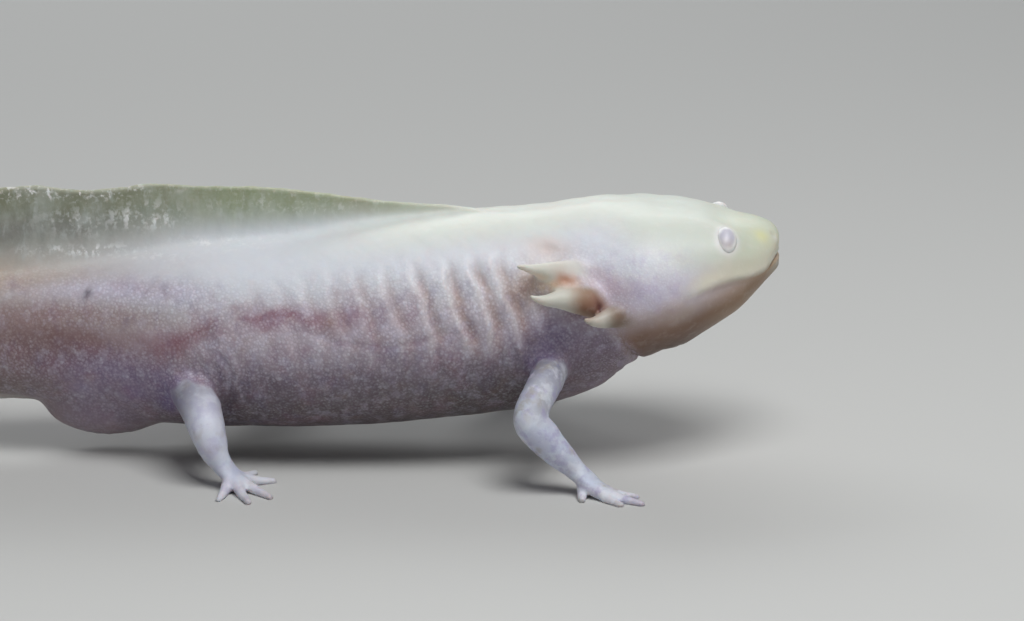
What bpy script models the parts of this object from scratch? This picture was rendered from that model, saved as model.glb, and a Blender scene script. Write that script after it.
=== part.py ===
"""Axolotl, life size, standing on its four feet: a still model of the whole animal.

Metres, +Z up, the floor at z = 0, +X towards the snout, +Y to the animal's left.
The origin is on the floor under the middle of the animal's bounding box.
The body is one lofted form, parted by thin cuts into head, neck, trunk and tail; fins, gills,
legs and vent are separate forms seated on it with a thin gap.
"""
import math

import bmesh
import bpy
import numpy as np
from mathutils import Vector

# ------------------------------------------------------------------ driving dimensions (millimetres)
MM = 0.001
GAP = 0.3                 # clear gap between neighbouring pieces
SNOUT_X = 125.0           # front of the snout
TAIL_X = -125.0           # tip of the tail fin
CENTRE_Y = -0.54          # sideways shift that puts the origin under the middle of the box
BODY_SIDES = 24           # facets round the body
SECTION_POWER = 2.15      # superellipse power of the body's cross-section

# Body sections from snout to tail tip: x, mid height, half width, half height
SECTIONS = {
    "snout_front": (124.95, 38.4, 1.6, 1.4),
    "lip": (124.5, 38.5, 4.1, 3.2),
    "nostrils": (123.7, 38.6, 6.1, 4.2),
    "premaxilla": (122.2, 38.2, 8.2, 5.4),
    "muzzle": (119.9, 37.4, 10.5, 6.9),
    "eyes_front": (117.0, 36.3, 12.9, 8.7),
    "eyes": (114.0, 35.6, 14.7, 10.0),
    "cheek_front": (110.3, 35.0, 16.5, 11.8),
    "cheek": (106.6, 34.2, 17.9, 13.2),
    "jaw_angle": (102.9, 33.8, 18.8, 13.7),
    "gill_front": (99.2, 33.3, 19.0, 14.5),
    "gill_rear": (95.5, 31.9, 18.2, 15.9),
    "nape": (91.8, 30.4, 16.9, 17.4),
    "neck": (86.2, 28.8, 16.0, 18.3),
    "shoulder": (80.7, 27.7, 16.7, 18.6),
    "chest": (73.0, 26.8, 17.7, 18.8),
    "ribs_front": (62.2, 25.8, 18.6, 19.0),
    "ribs": (50.0, 24.6, 18.9, 18.9),
    "belly": (36.3, 23.2, 18.4, 18.0),
    "flank": (27.0, 22.7, 17.3, 17.5),
    "hip": (17.8, 22.3, 15.3, 17.2),
    "rump": (8.5, 22.0, 13.0, 16.1),
    "vent_front": (-0.7, 22.0, 11.0, 14.4),
    "vent_rear": (-10.0, 22.3, 9.6, 12.6),
    "tail_root": (-20.0, 22.2, 8.3, 11.6),
    "tail_1": (-36.0, 21.6, 6.7, 10.0),
    "tail_2": (-55.0, 20.6, 5.2, 8.2),
    "tail_3": (-75.0, 19.4, 3.9, 6.2),
    "tail_4": (-95.0, 18.2, 2.6, 4.1),
    "tail_5": (-110.0, 17.4, 1.6, 2.4),
    "tail_end": (-119.0, 17.0, 0.9, 1.2),
}
# Heights of the fin's upper edge (crest) and lower edge (keel) along the animal: x, z
CREST = ((71.0, 44.6), (66.0, 46.3), (58.7, 46.9), (51.4, 47.4), (44.1, 48.4), (36.8, 49.3), (25.8, 50.1), (11.2, 50.6),
         (3.8, 49.7), (-3.5, 49.4), (-10.8, 50.1), (-18.1, 49.7), (-35.0, 48.4), (-55.0, 45.4), (-75.0, 40.8),
         (-95.0, 34.4), (-110.0, 27.9), (-120.0, 21.9), (-125.0, 17.2))
KEEL = ((-12.0, 10.4), (-20.0, 9.6), (-30.0, 8.0), (-45.0, 5.4), (-60.0, 3.8), (-75.0, 3.2), (-90.0, 4.3), (-105.0, 7.3),
        (-117.0, 11.6), (-125.0, 16.6))
FIN_BASE, FIN_EDGE = 2.6, 0.9     # fin thickness where it leaves the back, and at its edge
SOLE = 0.3                # how much of a digit is taken up by the flat it rests on

# Where the body is parted: x at mid height, and slope of the cut (x per z, leaning back towards the top)
CUTS = {"head": (93.5, -0.62), "neck": (78.5, -0.30), "trunk_front": (51.0, -0.12), "trunk_mid": (26.0, 0.0),
        "trunk_rear": (-12.0, 0.0), "tail_base": (-48.0, 0.0), "tail_mid": (-86.0, 0.0)}
STATION_SPACING = {"head": 0.0, "neck": 5.0, "trunk_front": 5.5, "trunk_mid": 6.0, "trunk_rear": 6.0, "tail_base": 9.0,
                   "tail_mid": 10.0, "tail_tip": 11.0}   # distance between lofted rings; the head has one per section
TAIL_SWAY = 15.0                  # how far the tail's end swings to the animal's left
TAIL_SWAY_START = -8.0

MOUTH = ((131.0, 38.5), (124.2, 38.1), (122.4, 36.5), (120.7, 35.8), (118.4, 35.4), (115.3, 35.1), (112.3, 34.5),
         (109.9, 33.9), (107.2, 32.6))                # the mouth line, x and z, from the lip to its corner
JAW_BACK = (101.5, 8.0)           # the lower jaw ends on a line from the corner of the mouth to here

EYE = (114.35, 11.15, 42.35)         # eye centre, left side
EYE_RADIUS = 2.15
NOSTRIL = (123.1, 4.3, 42.1)
NOSTRIL_RADIUS = 0.55

# Gill stalks, left side: centre points x, y, z and radius
GILLS = {
    "upper": ((92.0, 9.0, 37.0, 2.2), (88.6, 11.6, 37.5, 2.1), (85.6, 14.0, 38.0, 1.95), (82.9, 16.4, 38.4, 1.65),
              (80.4, 18.2, 39.0, 1.2), (78.3, 19.3, 39.7, 0.75), (76.3, 20.1, 40.3, 0.32)),
    "middle": ((96.0, 10.0, 31.2, 2.2), (92.6, 12.6, 31.5, 2.1), (89.2, 15.4, 32.5, 2.05), (86.3, 18.1, 33.8, 2.1),
               (83.4, 20.5, 34.2, 1.5), (81.5, 21.7, 34.35, 1.0), (80.2, 22.3, 34.8, 0.65), (79.1, 22.8, 35.4, 0.3)),
    "lower": ((100.0, 11.0, 31.4, 2.2), (97.0, 14.2, 31.0, 2.1), (94.3, 16.8, 30.7, 2.0), (92.1, 18.9, 30.4, 1.75),
              (90.5, 20.5, 30.2, 1.15), (89.4, 21.5, 30.4, 0.7), (88.4, 22.2, 30.9, 0.3)),
}

VENT_CENTRE, VENT_RADII = (0.6, 0.0, 10.2), (12.4, 7.6, 7.2)

# Legs: centre points x, y, z, half width across, half height; the right leg's y is negative.
# Digits: the root as x, y, z, radius, then points lying on the floor as x, y, radius.
LEGS = {
    "arm_r": {
        "upper": ((84.0, -8.0, 22.0, 4.2, 4.2), (82.6, -15.5, 19.8, 3.3, 3.5), (80.7, -21.6, 17.2, 3.0, 3.2),
                  (78.9, -25.0, 14.6, 3.1, 3.25)),
        "lower": ((79.4, -26.0, 12.6, 3.2, 3.2), (81.2, -26.4, 10.6, 3.2, 3.1), (83.6, -26.6, 7.8, 2.8, 2.65),
                  (86.3, -26.9, 5.0, 2.2, 2.0)),
        "palm": ((87.4, -27.2, 4.0, 2.1, 1.75), (89.2, -28.0, 2.7, 2.3, 1.4), (90.6, -28.7, 1.45, 2.2, 1.15),
                 (91.4, -29.2, 0.8, 1.6, 0.95)),
        "digits": (((88.3, -28.3, 2.4, 1.15), (88.1, -29.9, 0.92), (88.0, -31.8, 0.62)),
                   ((90.2, -29.4, 1.8, 1.15), (92.6, -32.0, 0.92), (94.8, -34.4, 0.6)),
                   ((90.6, -29.2, 1.8, 1.2), (94.6, -31.6, 0.95), (98.6, -33.9, 0.6)),
                   ((90.4, -28.3, 1.8, 1.15), (94.2, -29.2, 0.9), (97.8, -30.1, 0.6))),
    },
    "arm_l": {
        "upper": ((84.0, 8.0, 22.0, 4.2, 4.2), (81.1, 15.5, 19.8, 3.3, 3.5), (76.5, 21.4, 17.0, 3.0, 3.2),
                  (72.9, 25.2, 14.2, 3.1, 3.25)),
        "lower": ((71.7, 26.6, 12.2, 3.25, 3.25), (71.9, 27.6, 10.2, 3.25, 3.15), (73.0, 28.6, 7.6, 2.8, 2.65),
                  (74.6, 29.3, 5.0, 2.2, 2.0)),
        "palm": ((75.3, 29.6, 4.0, 2.1, 1.75), (76.8, 30.2, 2.7, 2.3, 1.4), (78.0, 30.7, 1.45, 2.2, 1.15),
                 (78.7, 31.0, 0.8, 1.6, 0.95)),
        "digits": (((76.6, 31.2, 2.3, 1.15), (77.0, 33.0, 0.92), (77.4, 34.9, 0.62)),
                   ((77.7, 31.3, 1.8, 1.15), (80.4, 33.2, 0.92), (83.0, 34.9, 0.6)),
                   ((78.0, 30.9, 1.8, 1.2), (81.9, 31.9, 0.95), (85.6, 32.7, 0.6)),
                   ((77.7, 30.1, 1.8, 1.15), (80.9, 29.5, 0.9), (83.8, 28.8, 0.6))),
    },
    "leg_r": {
        "upper": ((15.5, -6.5, 19.5, 4.4, 4.6), (17.0, -12.0, 15.9, 4.2, 4.4), (18.9, -16.8, 13.6, 3.8, 3.9),
                  (20.3, -20.3, 11.4, 3.4, 3.4)),
        "lower": ((20.9, -21.6, 9.8, 3.2, 3.2), (21.5, -22.3, 8.2, 2.9, 2.9), (22.2, -22.9, 6.2, 2.45, 2.3),
                  (23.2, -23.3, 4.6, 2.2, 1.9)),
        "palm": ((23.7, -23.5, 3.9, 2.25, 1.7), (24.8, -23.8, 2.7, 2.6, 1.4), (25.9, -24.1, 1.45, 2.5, 1.15),
                 (26.6, -24.3, 0.8, 1.8, 0.95)),
        "digits": (((25.0, -22.4, 2.2, 1.1), (26.9, -19.3, 0.88), (28.7, -16.3, 0.58)),
                   ((26.2, -23.1, 1.8, 1.15), (29.6, -22.0, 0.92), (32.6, -21.0, 0.58)),
                   ((26.4, -24.4, 1.8, 1.2), (29.8, -27.3, 0.92), (32.5, -30.2, 0.58)),
                   ((25.8, -25.3, 1.8, 1.15), (27.4, -29.2, 0.9), (28.8, -32.9, 0.58)),
                   ((24.8, -25.2, 1.9, 1.1), (24.1, -28.4, 0.88), (23.4, -31.4, 0.56))),
    },
    "leg_l": {
        "upper": ((16.0, 6.5, 19.5, 4.4, 4.6), (19.3, 12.0, 16.0, 4.2, 4.4), (23.2, 17.2, 13.9, 3.8, 3.9),
                  (26.6, 21.2, 11.7, 3.4, 3.4)),
        "lower": ((27.9, 23.2, 10.1, 3.2, 3.2), (28.2, 24.6, 8.4, 2.9, 2.9), (28.5, 25.9, 6.3, 2.45, 2.3),
                  (29.0, 27.0, 4.7, 2.2, 1.9)),
        "palm": ((29.4, 27.6, 3.9, 2.25, 1.7), (30.1, 28.5, 2.6, 2.6, 1.4), (30.9, 29.3, 1.45, 2.5, 1.15),
                 (31.4, 29.8, 0.8, 1.8, 0.95)),
        "digits": (((30.5, 28.1, 2.2, 1.1), (33.6, 26.4, 0.88), (36.4, 24.7, 0.58)),
                   ((31.4, 29.0, 1.8, 1.15), (35.1, 29.2, 0.92), (38.8, 29.4, 0.58)),
                   ((31.3, 29.8, 1.8, 1.2), (34.7, 32.0, 0.92), (37.8, 34.1, 0.58)),
                   ((30.5, 30.2, 1.8, 1.15), (31.5, 32.7, 0.9), (32.3, 35.0, 0.58)),
                   ((29.5, 29.8, 1.9, 1.1), (28.0, 32.1, 0.88), (26.6, 34.3, 0.56))),
    },
}

COLOURS = {
    "skin": ((0.86, 0.80, 0.78), 0.42),
    "head": ((0.90, 0.90, 0.82), 0.40),
    "fin": ((0.62, 0.68, 0.62), 0.35),
    "gill": ((0.90, 0.86, 0.76), 0.40),
    "leg": ((0.80, 0.80, 0.84), 0.42),
    "vent": ((0.60, 0.53, 0.62), 0.42),
    "eye": ((0.66, 0.64, 0.66), 0.12),
}


# ------------------------------------------------------------------ curves through the named sections
def smooth_rows(rows, steps):
    """Points on a smooth (Catmull-Rom) curve through rows of numbers, steps per interval."""
    rows = [np.array(r, float) for r in rows]
    rows = [2 * rows[0] - rows[1]] + rows + [2 * rows[-1] - rows[-2]]
    out = []
    for i in range(1, len(rows) - 2):
        p0, p1, p2, p3 = rows[i - 1:i + 3]
        for j in range(steps):
            t = j / steps
            out.append(0.5 * (2 * p1 + (p2 - p0) * t + (2 * p0 - 5 * p1 + 4 * p2 - p3) * t * t
                              + (3 * p1 - p0 - 3 * p2 + p3) * t ** 3))
    out.append(rows[-2])
    return np.array(out)


BODY_CURVE = smooth_rows(list(SECTIONS.values()), 8)[::-1]     # x rising


def body_at(x):
    """Mid height, half width and half height of the body at x."""
    return [float(np.interp(x, BODY_CURVE[:, 0], BODY_CURVE[:, k])) for k in (1, 2, 3)]


def sway(x):
    """Sideways place of the mid line: straight to the hips, then the tail swings gently to the left."""
    s = max(0.0, (TAIL_SWAY_START - x) / (TAIL_SWAY_START - TAIL_X))
    return TAIL_SWAY * (1.9 * s * s - 0.9 * s ** 4)


def place(x, y, z):
    return Vector((x * MM, (y + sway(x) + CENTRE_Y) * MM, z * MM))


def signed_power(v, p):
    return math.copysign(abs(v) ** p, v)


def body_ring(x_mid, slope, grow=0.0, sides=BODY_SIDES):
    """One ring of the body in a plane that leans by slope, grown outwards by grow."""
    ring = []
    z_mid = body_at(x_mid)[0]
    for k in range(sides):
        a = 2 * math.pi * k / sides
        x = x_mid
        for _ in range(6):
            zc, w, h = body_at(x)
            z = zc + (h + grow) * signed_power(math.sin(a), 2 / SECTION_POWER)
            x = x_mid + slope * (z - z_mid)
        y = (w + grow) * signed_power(math.cos(a), 2 / SECTION_POWER)
        ring.append(place(x, y, z))
    return ring


def slope_at(x):
    """Lean of the rings: upright at the snout, the cuts' own lean at each cut."""
    xs = [-125.0] + sorted(c[0] for c in CUTS.values()) + [106.0, 112.0, 125.0]
    lean = {c[0]: c[1] for c in CUTS.values()}
    ks = [lean.get(v, 0.0) for v in xs]
    ks[-3] = -0.20
    return float(np.interp(x, xs, ks))


# ------------------------------------------------------------------ making objects
MATERIALS = {}


def material(name):
    if name not in MATERIALS:
        colour, rough = COLOURS[name]
        m = bpy.data.materials.new(name)
        m.use_nodes = True
        b = m.node_tree.nodes["Principled BSDF"]
        b.inputs["Base Color"].default_value = (*colour, 1.0)
        b.inputs["Roughness"].default_value = rough
        b.inputs["Metallic"].default_value = 0.0
        m.diffuse_color = (*colour, 1.0)
        MATERIALS[name] = m
    return MATERIALS[name]


def from_rings(name, rings, finish, cutter=False):
    """A closed body lofted through rings of equal length, with flat end caps."""
    bm = bmesh.new()
    loops = [[bm.verts.new(p) for p in ring] for ring in rings]
    n = len(loops[0])
    for a, b in zip(loops, loops[1:]):
        for k in range(n):
            bm.faces.new((a[k], a[(k + 1) % n], b[(k + 1) % n], b[k]))
    bm.faces.new(loops[0][::-1])
    bm.faces.new(loops[-1])
    bmesh.ops.recalc_face_normals(bm, faces=bm.faces)
    return add_object(name, bm, finish, cutter)


def add_object(name, bm, finish, cutter=False):
    mesh = bpy.data.meshes.new(name)
    bm.to_mesh(mesh)
    bm.free()
    mesh.shade_smooth()
    mesh.set_sharp_from_angle(angle=math.radians(40))
    obj = bpy.data.objects.new(name, mesh)
    bpy.context.collection.objects.link(obj)
    if cutter:
        obj.hide_render = True
        obj.display_type = "WIRE"
    else:
        mesh.materials.append(material(finish))
        obj.parent = ANIMAL
    return obj


def boolean(obj, other, operation="DIFFERENCE"):
    m = obj.modifiers.new(f"{operation.lower()}_{other.name}", "BOOLEAN")
    m.operation = operation
    m.solver = "EXACT"
    m.object = other
    return obj


def tube(name, rows, finish, cutter=False, sides=10, steps=2, round_start=False, round_end=True, first=None, last=None):
    """A tapering limb through rows of x, y, z, half width and half height.

    With first or last, only the length between those rows is made, each such end drawn in by half a gap.
    """
    rows = [r if len(r) == 5 else (*r, r[3]) for r in rows]
    pts = smooth_rows(rows, steps)
    rings = []
    n = len(pts)
    i0 = 0 if first is None else first * steps
    i1 = n - 1 if last is None else last * steps
    for i in range(i0, i1 + 1):
        p = pts[i]
        t = Vector(pts[min(i + 1, n - 1)][:3] - pts[max(i - 1, 0)][:3]).normalized()
        side = t.cross(Vector((0, 0, 1))).normalized()
        up = side.cross(t).normalized()
        c = Vector(p[:3])
        if first is not None and i == i0:
            c += t * (GAP / 2)
        if last is not None and i == i1:
            c -= t * (GAP / 2)
        shells = [(0.0, 1.0)]
        if i == n - 1 and round_end:
            shells = [(0.0, 1.0), (0.5, 0.84), (0.86, 0.48)]
        if i == 0 and round_start:
            shells = [(-0.86, 0.48), (-0.5, 0.84), (0.0, 1.0)]
        for ahead, size in shells:
            cc = c + t * (ahead * min(p[3], p[4]))
            ring = []
            for k in range(sides):
                a = 2 * math.pi * k / sides
                q = cc + side * (p[3] * size * math.cos(a)) + up * (p[4] * size * math.sin(a))
                ring.append(place(q.x, q.y, q.z))
            rings.append(ring)
    return from_rings(name, rings, finish, cutter)


def ellipsoid(name, centre, radii, finish, cutter=False, rings=8, sides=12):
    bm = bmesh.new()
    bmesh.ops.create_uvsphere(bm, u_segments=sides, v_segments=rings, radius=1.0)
    for v in bm.verts:
        v.co = place(centre[0] + v.co.x * radii[0], centre[1] + v.co.y * radii[1], centre[2] + v.co.z * radii[2])
    return add_object(name, bm, finish, cutter)


def block(name, low, high):
    """A plain box, used only to trim."""
    bm = bmesh.new()
    bmesh.ops.create_cube(bm, size=1.0)
    for v in bm.verts:
        v.co = Vector([((low[k] + high[k]) / 2 + v.co[k] * (high[k] - low[k])) * MM for k in range(3)])
    return add_object(name, bm, "skin", cutter=True)


def fin(name, start, end, edge, finish, below=False, step=4.0):
    """A thin fin between x = start and end, from inside the body to its free edge."""
    xs_edge = [p[0] for p in edge][::-1]
    zs_edge = [p[1] for p in edge][::-1]
    count = max(2, round((start - end) / step))
    rings = []
    for i in range(count + 1):
        x = start + (end - start) * i / count
        rim = float(np.interp(x, xs_edge, zs_edge))
        zc, w, h = body_at(max(x, -119.0))
        root = zc + (-0.62 if below else 0.62) * h
        if x < -119.0:
            root = 17.0 + (-0.2 if below else 0.2)
        thick = FIN_BASE * min(1.0, 0.35 + w / 12.0)
        out = -1.0 if below else 1.0
        tall = max(0.6, (rim - root) * out)
        ring = []
        for part, wide in ((0.0, 1.0), (0.45, 0.86), (0.75, 0.62), (0.94, 0.40), (1.0, 0.18)):
            ring.append((max(thick * wide, FIN_EDGE * (0.62 if part == 1.0 else 1.0)) / 2, root + out * tall * part))
        loop = [(-y, z) for y, z in ring] + [(y, z) for y, z in ring[::-1]]
        rings.append([place(x, y, z) for y, z in loop])
    return from_rings(name, rings, finish)


def prism(name, outline, half):
    """An outline in x and z, drawn out sideways by half to each side."""
    bm = bmesh.new()
    sides = [[bm.verts.new(Vector((x * MM, y * MM, z * MM))) for x, z in outline] for y in (-half, half)]
    n = len(outline)
    bm.faces.new(sides[0])
    bm.faces.new(sides[1][::-1])
    for k in range(n):
        bm.faces.new((sides[0][(k + 1) % n], sides[0][k], sides[1][k], sides[1][(k + 1) % n]))
    bmesh.ops.recalc_face_normals(bm, faces=bm.faces)
    return add_object(name, bm, "skin", cutter=True)


# ------------------------------------------------------------------ the animal
for old in list(bpy.data.objects):
    bpy.data.objects.remove(old, do_unlink=True)

ANIMAL = bpy.data.objects.new("animal", None)
bpy.context.collection.objects.link(ANIMAL)

# The whole body grown by the gap: everything that sits on the body is trimmed by it.
xs = [p[0] for p in BODY_CURVE[::-4]]
BODY_CORE = from_rings("body_core", [body_ring(x, 0.0, GAP) for x in xs], "skin", cutter=True)
FLOOR = block("floor_trim", (-200, -80, -12), (200, 80, 0))

# Body lengths, parted by thin slanted cuts
edges = [SNOUT_X] + [c[0] for c in CUTS.values()] + [-119.0]
names = list(CUTS) + ["tail_tip"]
for name, front, back in zip(names, edges, edges[1:]):
    spacing = STATION_SPACING[name]
    if name == "head":
        stations = [row[0] for row in SECTIONS.values() if row[0] > back + 1.0]
    else:
        count = max(2, round((front - back) / spacing))
        stations = [front + (back - front) * i / count for i in range(count)]
        stations[0] -= GAP / 2
    stations.append(back + GAP / 2 if name != "tail_tip" else -119.0)
    rings = [body_ring(x, slope_at(x)) for x in stations]
    from_rings(name, rings, "head" if name == "head" else "skin")

# Lower jaw: the head below the mouth line, as far back as the corner of the mouth
outline = list(MOUTH) + [JAW_BACK, (131.0, 8.0)]
jaw_space = prism("jaw_space", outline, 40.0)
inner = [(x, z - GAP) for x, z in MOUTH[:-1]] + [(MOUTH[-1][0] + GAP, MOUTH[-1][1] - GAP), (JAW_BACK[0] + GAP * 1.2, 8.0),
                                                 (131.0, 8.0)]
jaw_keep = prism("jaw_keep", inner, 40.0)
head = bpy.data.objects["head"]
jaw = bpy.data.objects.new("lower_jaw", head.data.copy())
bpy.context.collection.objects.link(jaw)
jaw.parent = ANIMAL
boolean(head, jaw_space)
boolean(jaw, jaw_keep, "INTERSECT")

# Eyes in their sockets, and the nostrils
for tag, side in (("r", -1), ("l", 1)):
    ex, ey, ez = EYE
    ellipsoid(f"eye_{tag}", (ex, side * ey, ez), (EYE_RADIUS,) * 3, "eye")
    socket = ellipsoid(f"socket_{tag}", (ex, side * ey, ez), (EYE_RADIUS + GAP,) * 3, "eye", True)
    boolean(head, socket)
    nx, ny, nz = NOSTRIL
    boolean(head, ellipsoid(f"nostril_{tag}", (nx, side * ny, nz), (NOSTRIL_RADIUS,) * 3, "eye", True, rings=5, sides=6))

# Gill stalks
for tag, side in (("r", -1), ("l", 1)):
    for level, rows in GILLS.items():
        rows = [(x, side * y, z, r) for x, y, z, r in rows]
        boolean(tube(f"gill_{tag}_{level}", rows, "gill", sides=8, steps=1), BODY_CORE)

# Fins
boolean(fin("dorsal_fin", 69.0, -12.0 + GAP / 2, CREST, "fin", step=6.5), BODY_CORE)
boolean(fin("tail_fin_upper", -12.0 - GAP / 2, TAIL_X, CREST, "fin", step=6.5), BODY_CORE)
boolean(fin("tail_fin_lower", -14.0, TAIL_X, KEEL, "fin", below=True, step=6.5), BODY_CORE)

# Vent, the swelling under the root of the tail
boolean(ellipsoid("vent", VENT_CENTRE, VENT_RADII, "vent", rings=9, sides=16), BODY_CORE)

# Legs, each in three lengths; the hand or foot carries its own digits, flat below on the floor
PARTS = {"arm": ("upper_arm", "forearm", "hand"), "leg": ("thigh", "shin", "foot")}
for limb, rows in LEGS.items():
    kind, tag = limb.split("_")
    upper_name, lower_name, end_name = (f"{n}_{tag}" for n in PARTS[kind])
    whole = rows["upper"] + rows["lower"] + rows["palm"]
    elbow = len(rows["upper"])
    wrist = elbow + len(rows["lower"])
    boolean(tube(upper_name, whole, "leg", last=elbow), BODY_CORE)
    tube(lower_name, whole, "leg", first=elbow, last=wrist)
    hand = tube(end_name, whole, "leg", first=wrist)
    for i, d in enumerate(rows["digits"]):
        d = [d[0]] + [(x, y, r - SOLE, r) for x, y, r in d[1:]]
        boolean(hand, tube(f"{end_name}_digit_{i + 1}", d, "leg", cutter=True, sides=8, steps=1, round_start=True), "UNION")
    boolean(hand, FLOOR)
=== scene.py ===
"""Axolotl, the looks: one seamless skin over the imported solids, and two wet eyes.

Lengths are worked out in millimetres and turned into metres when a mesh is made. The skin is the zero surface of
one smooth distance field (body, fins, vent, legs, digits and gills blended together), meshed on a grid, drawn onto
the surface, and then given its folds, mouth, nostrils, gill clefts and creases by moving its vertices.
"""

import math

import bpy
import numpy as np
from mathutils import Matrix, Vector


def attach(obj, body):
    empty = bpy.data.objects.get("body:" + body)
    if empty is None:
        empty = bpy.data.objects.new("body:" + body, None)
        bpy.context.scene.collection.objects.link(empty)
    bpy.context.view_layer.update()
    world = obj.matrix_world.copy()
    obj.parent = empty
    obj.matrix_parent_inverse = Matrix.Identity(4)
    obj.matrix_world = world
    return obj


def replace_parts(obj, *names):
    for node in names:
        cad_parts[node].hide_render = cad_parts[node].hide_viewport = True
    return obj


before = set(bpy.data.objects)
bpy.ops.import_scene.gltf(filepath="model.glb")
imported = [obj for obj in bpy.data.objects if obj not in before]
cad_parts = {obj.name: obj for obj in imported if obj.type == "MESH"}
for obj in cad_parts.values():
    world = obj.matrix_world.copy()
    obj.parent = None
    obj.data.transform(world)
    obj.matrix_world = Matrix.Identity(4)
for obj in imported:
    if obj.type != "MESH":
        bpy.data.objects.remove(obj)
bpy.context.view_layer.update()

MM = 0.001
CENTRE_Y = -0.54
TAIL_SWAY, TAIL_SWAY_START, TAIL_X = 15.0, -8.0, -125.0
SECTION_POWER = 2.15
SOLE = 0.3
MOUTH_LEVEL = 35.4

# ------------------------------------------------------------------ the animal's measurements (mm)
# x, mid height, half width, half height
SECTIONS = [
    (124.95, 38.4, 1.6, 1.4), (124.5, 38.5, 4.1, 3.2), (123.7, 38.6, 6.1, 4.2), (122.2, 38.2, 8.2, 5.4),
    (119.9, 37.4, 10.5, 6.9), (117.0, 36.3, 12.9, 8.7), (114.0, 35.6, 14.7, 10.0), (110.3, 35.0, 16.5, 11.8),
    (106.6, 34.2, 17.9, 13.2), (102.9, 33.8, 18.8, 13.7), (99.2, 33.3, 19.0, 14.5), (95.5, 31.9, 18.2, 15.9),
    (91.8, 30.4, 16.9, 17.4), (86.2, 28.8, 16.0, 18.3), (80.7, 27.7, 16.7, 18.6), (73.0, 26.8, 17.7, 18.8),
    (62.2, 25.8, 18.6, 19.0), (50.0, 24.6, 18.9, 18.9), (36.3, 23.2, 18.4, 18.0), (27.0, 22.7, 17.3, 17.5),
    (17.8, 22.3, 15.3, 17.2), (8.5, 22.0, 13.0, 16.1), (-0.7, 22.0, 11.0, 14.4), (-10.0, 22.3, 9.6, 12.6),
    (-20.0, 22.2, 8.3, 11.6), (-36.0, 21.6, 6.7, 10.0), (-55.0, 20.6, 5.2, 8.2), (-75.0, 19.4, 3.9, 6.2),
    (-95.0, 18.2, 2.6, 4.1), (-110.0, 17.4, 1.6, 2.4), (-119.0, 17.0, 0.9, 1.2),
]
CREST = [(76.0, 41.0), (71.0, 44.6), (66.0, 46.3), (58.7, 46.9), (51.4, 47.4), (44.1, 48.4), (36.8, 49.3), (25.8, 50.1),
         (11.2, 50.6), (3.8, 49.7), (-3.5, 49.4), (-10.8, 50.1), (-18.1, 49.7), (-35.0, 48.4), (-55.0, 45.4),
         (-75.0, 40.8), (-95.0, 34.4), (-110.0, 27.9), (-120.0, 21.9), (-125.0, 17.2)]
KEEL = [(-8.0, 13.0), (-12.0, 10.4), (-20.0, 9.6), (-30.0, 8.0), (-45.0, 5.4), (-60.0, 3.8), (-75.0, 3.2), (-90.0, 4.3),
        (-105.0, 7.3), (-117.0, 11.6), (-125.0, 16.6)]
MOUTH = [(124.9, 38.2), (124.2, 38.1), (122.4, 36.5), (120.7, 35.8), (118.4, 35.6), (115.6, 35.7), (112.8, 35.3),
         (110.2, 34.6), (107.2, 33.4)]
EYE = (114.12, 11.04, 42.47)
NOSTRIL = (123.1, 4.3, 42.1)
VENT_CENTRE, VENT_RADII = (0.6, 0.0, 10.2), (12.4, 7.6, 7.2)

# Gill stalks, left side: x, y, z, radius
GILLS = {
    "upper": [(92.6, 10.4, 36.6, 2.2), (89.2, 12.6, 37.1, 2.15), (86.0, 14.6, 37.8, 2.0), (83.0, 16.6, 38.4, 1.65),
              (80.4, 18.2, 39.0, 1.15), (78.3, 19.2, 39.6, 0.70), (76.5, 20.0, 40.2, 0.30)],
    "middle": [(97.2, 12.6, 30.8, 2.3), (94.0, 14.6, 31.2, 2.3), (90.8, 16.3, 31.9, 2.25), (87.4, 18.4, 33.2, 2.2),
               (84.2, 20.2, 34.1, 1.65), (81.9, 21.5, 34.3, 1.08), (80.3, 22.3, 34.7, 0.66), (79.1, 22.8, 35.3, 0.30)],
    "lower": [(102.2, 14.2, 31.0, 2.2), (98.9, 15.8, 30.7, 2.2), (95.8, 17.3, 30.5, 2.1), (93.0, 19.0, 30.3, 1.75),
              (91.1, 20.4, 30.15, 1.18), (89.7, 21.4, 30.35, 0.72), (88.5, 22.2, 30.9, 0.30)],
}
# how softly each stalk grows out of the neck, along the body
GILL_SOFT = {"upper": (82.0, 87.0, 1.4, 2.6), "middle": (86.0, 91.0, 1.3, 2.8), "lower": (91.6, 96.0, 1.2, 2.8)}
WEBS = [[(77.6, 14.3, 37.0, 0.9), (79.4, 15.4, 37.0, 1.4), (81.4, 16.2, 36.9, 1.75), (83.4, 16.4, 36.8, 1.9), (85.6, 16.2, 36.3, 2.0), (88.0, 15.4, 35.4, 1.7)],
        [(78.2, 14.6, 35.2, 1.1), (80.2, 15.5, 35.2, 1.6), (82.2, 16.1, 35.2, 2.0), (84.6, 16.5, 35.1, 2.2), (87.2, 16.3, 34.7, 2.2), (89.8, 15.4, 34.0, 1.9)]]

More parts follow.
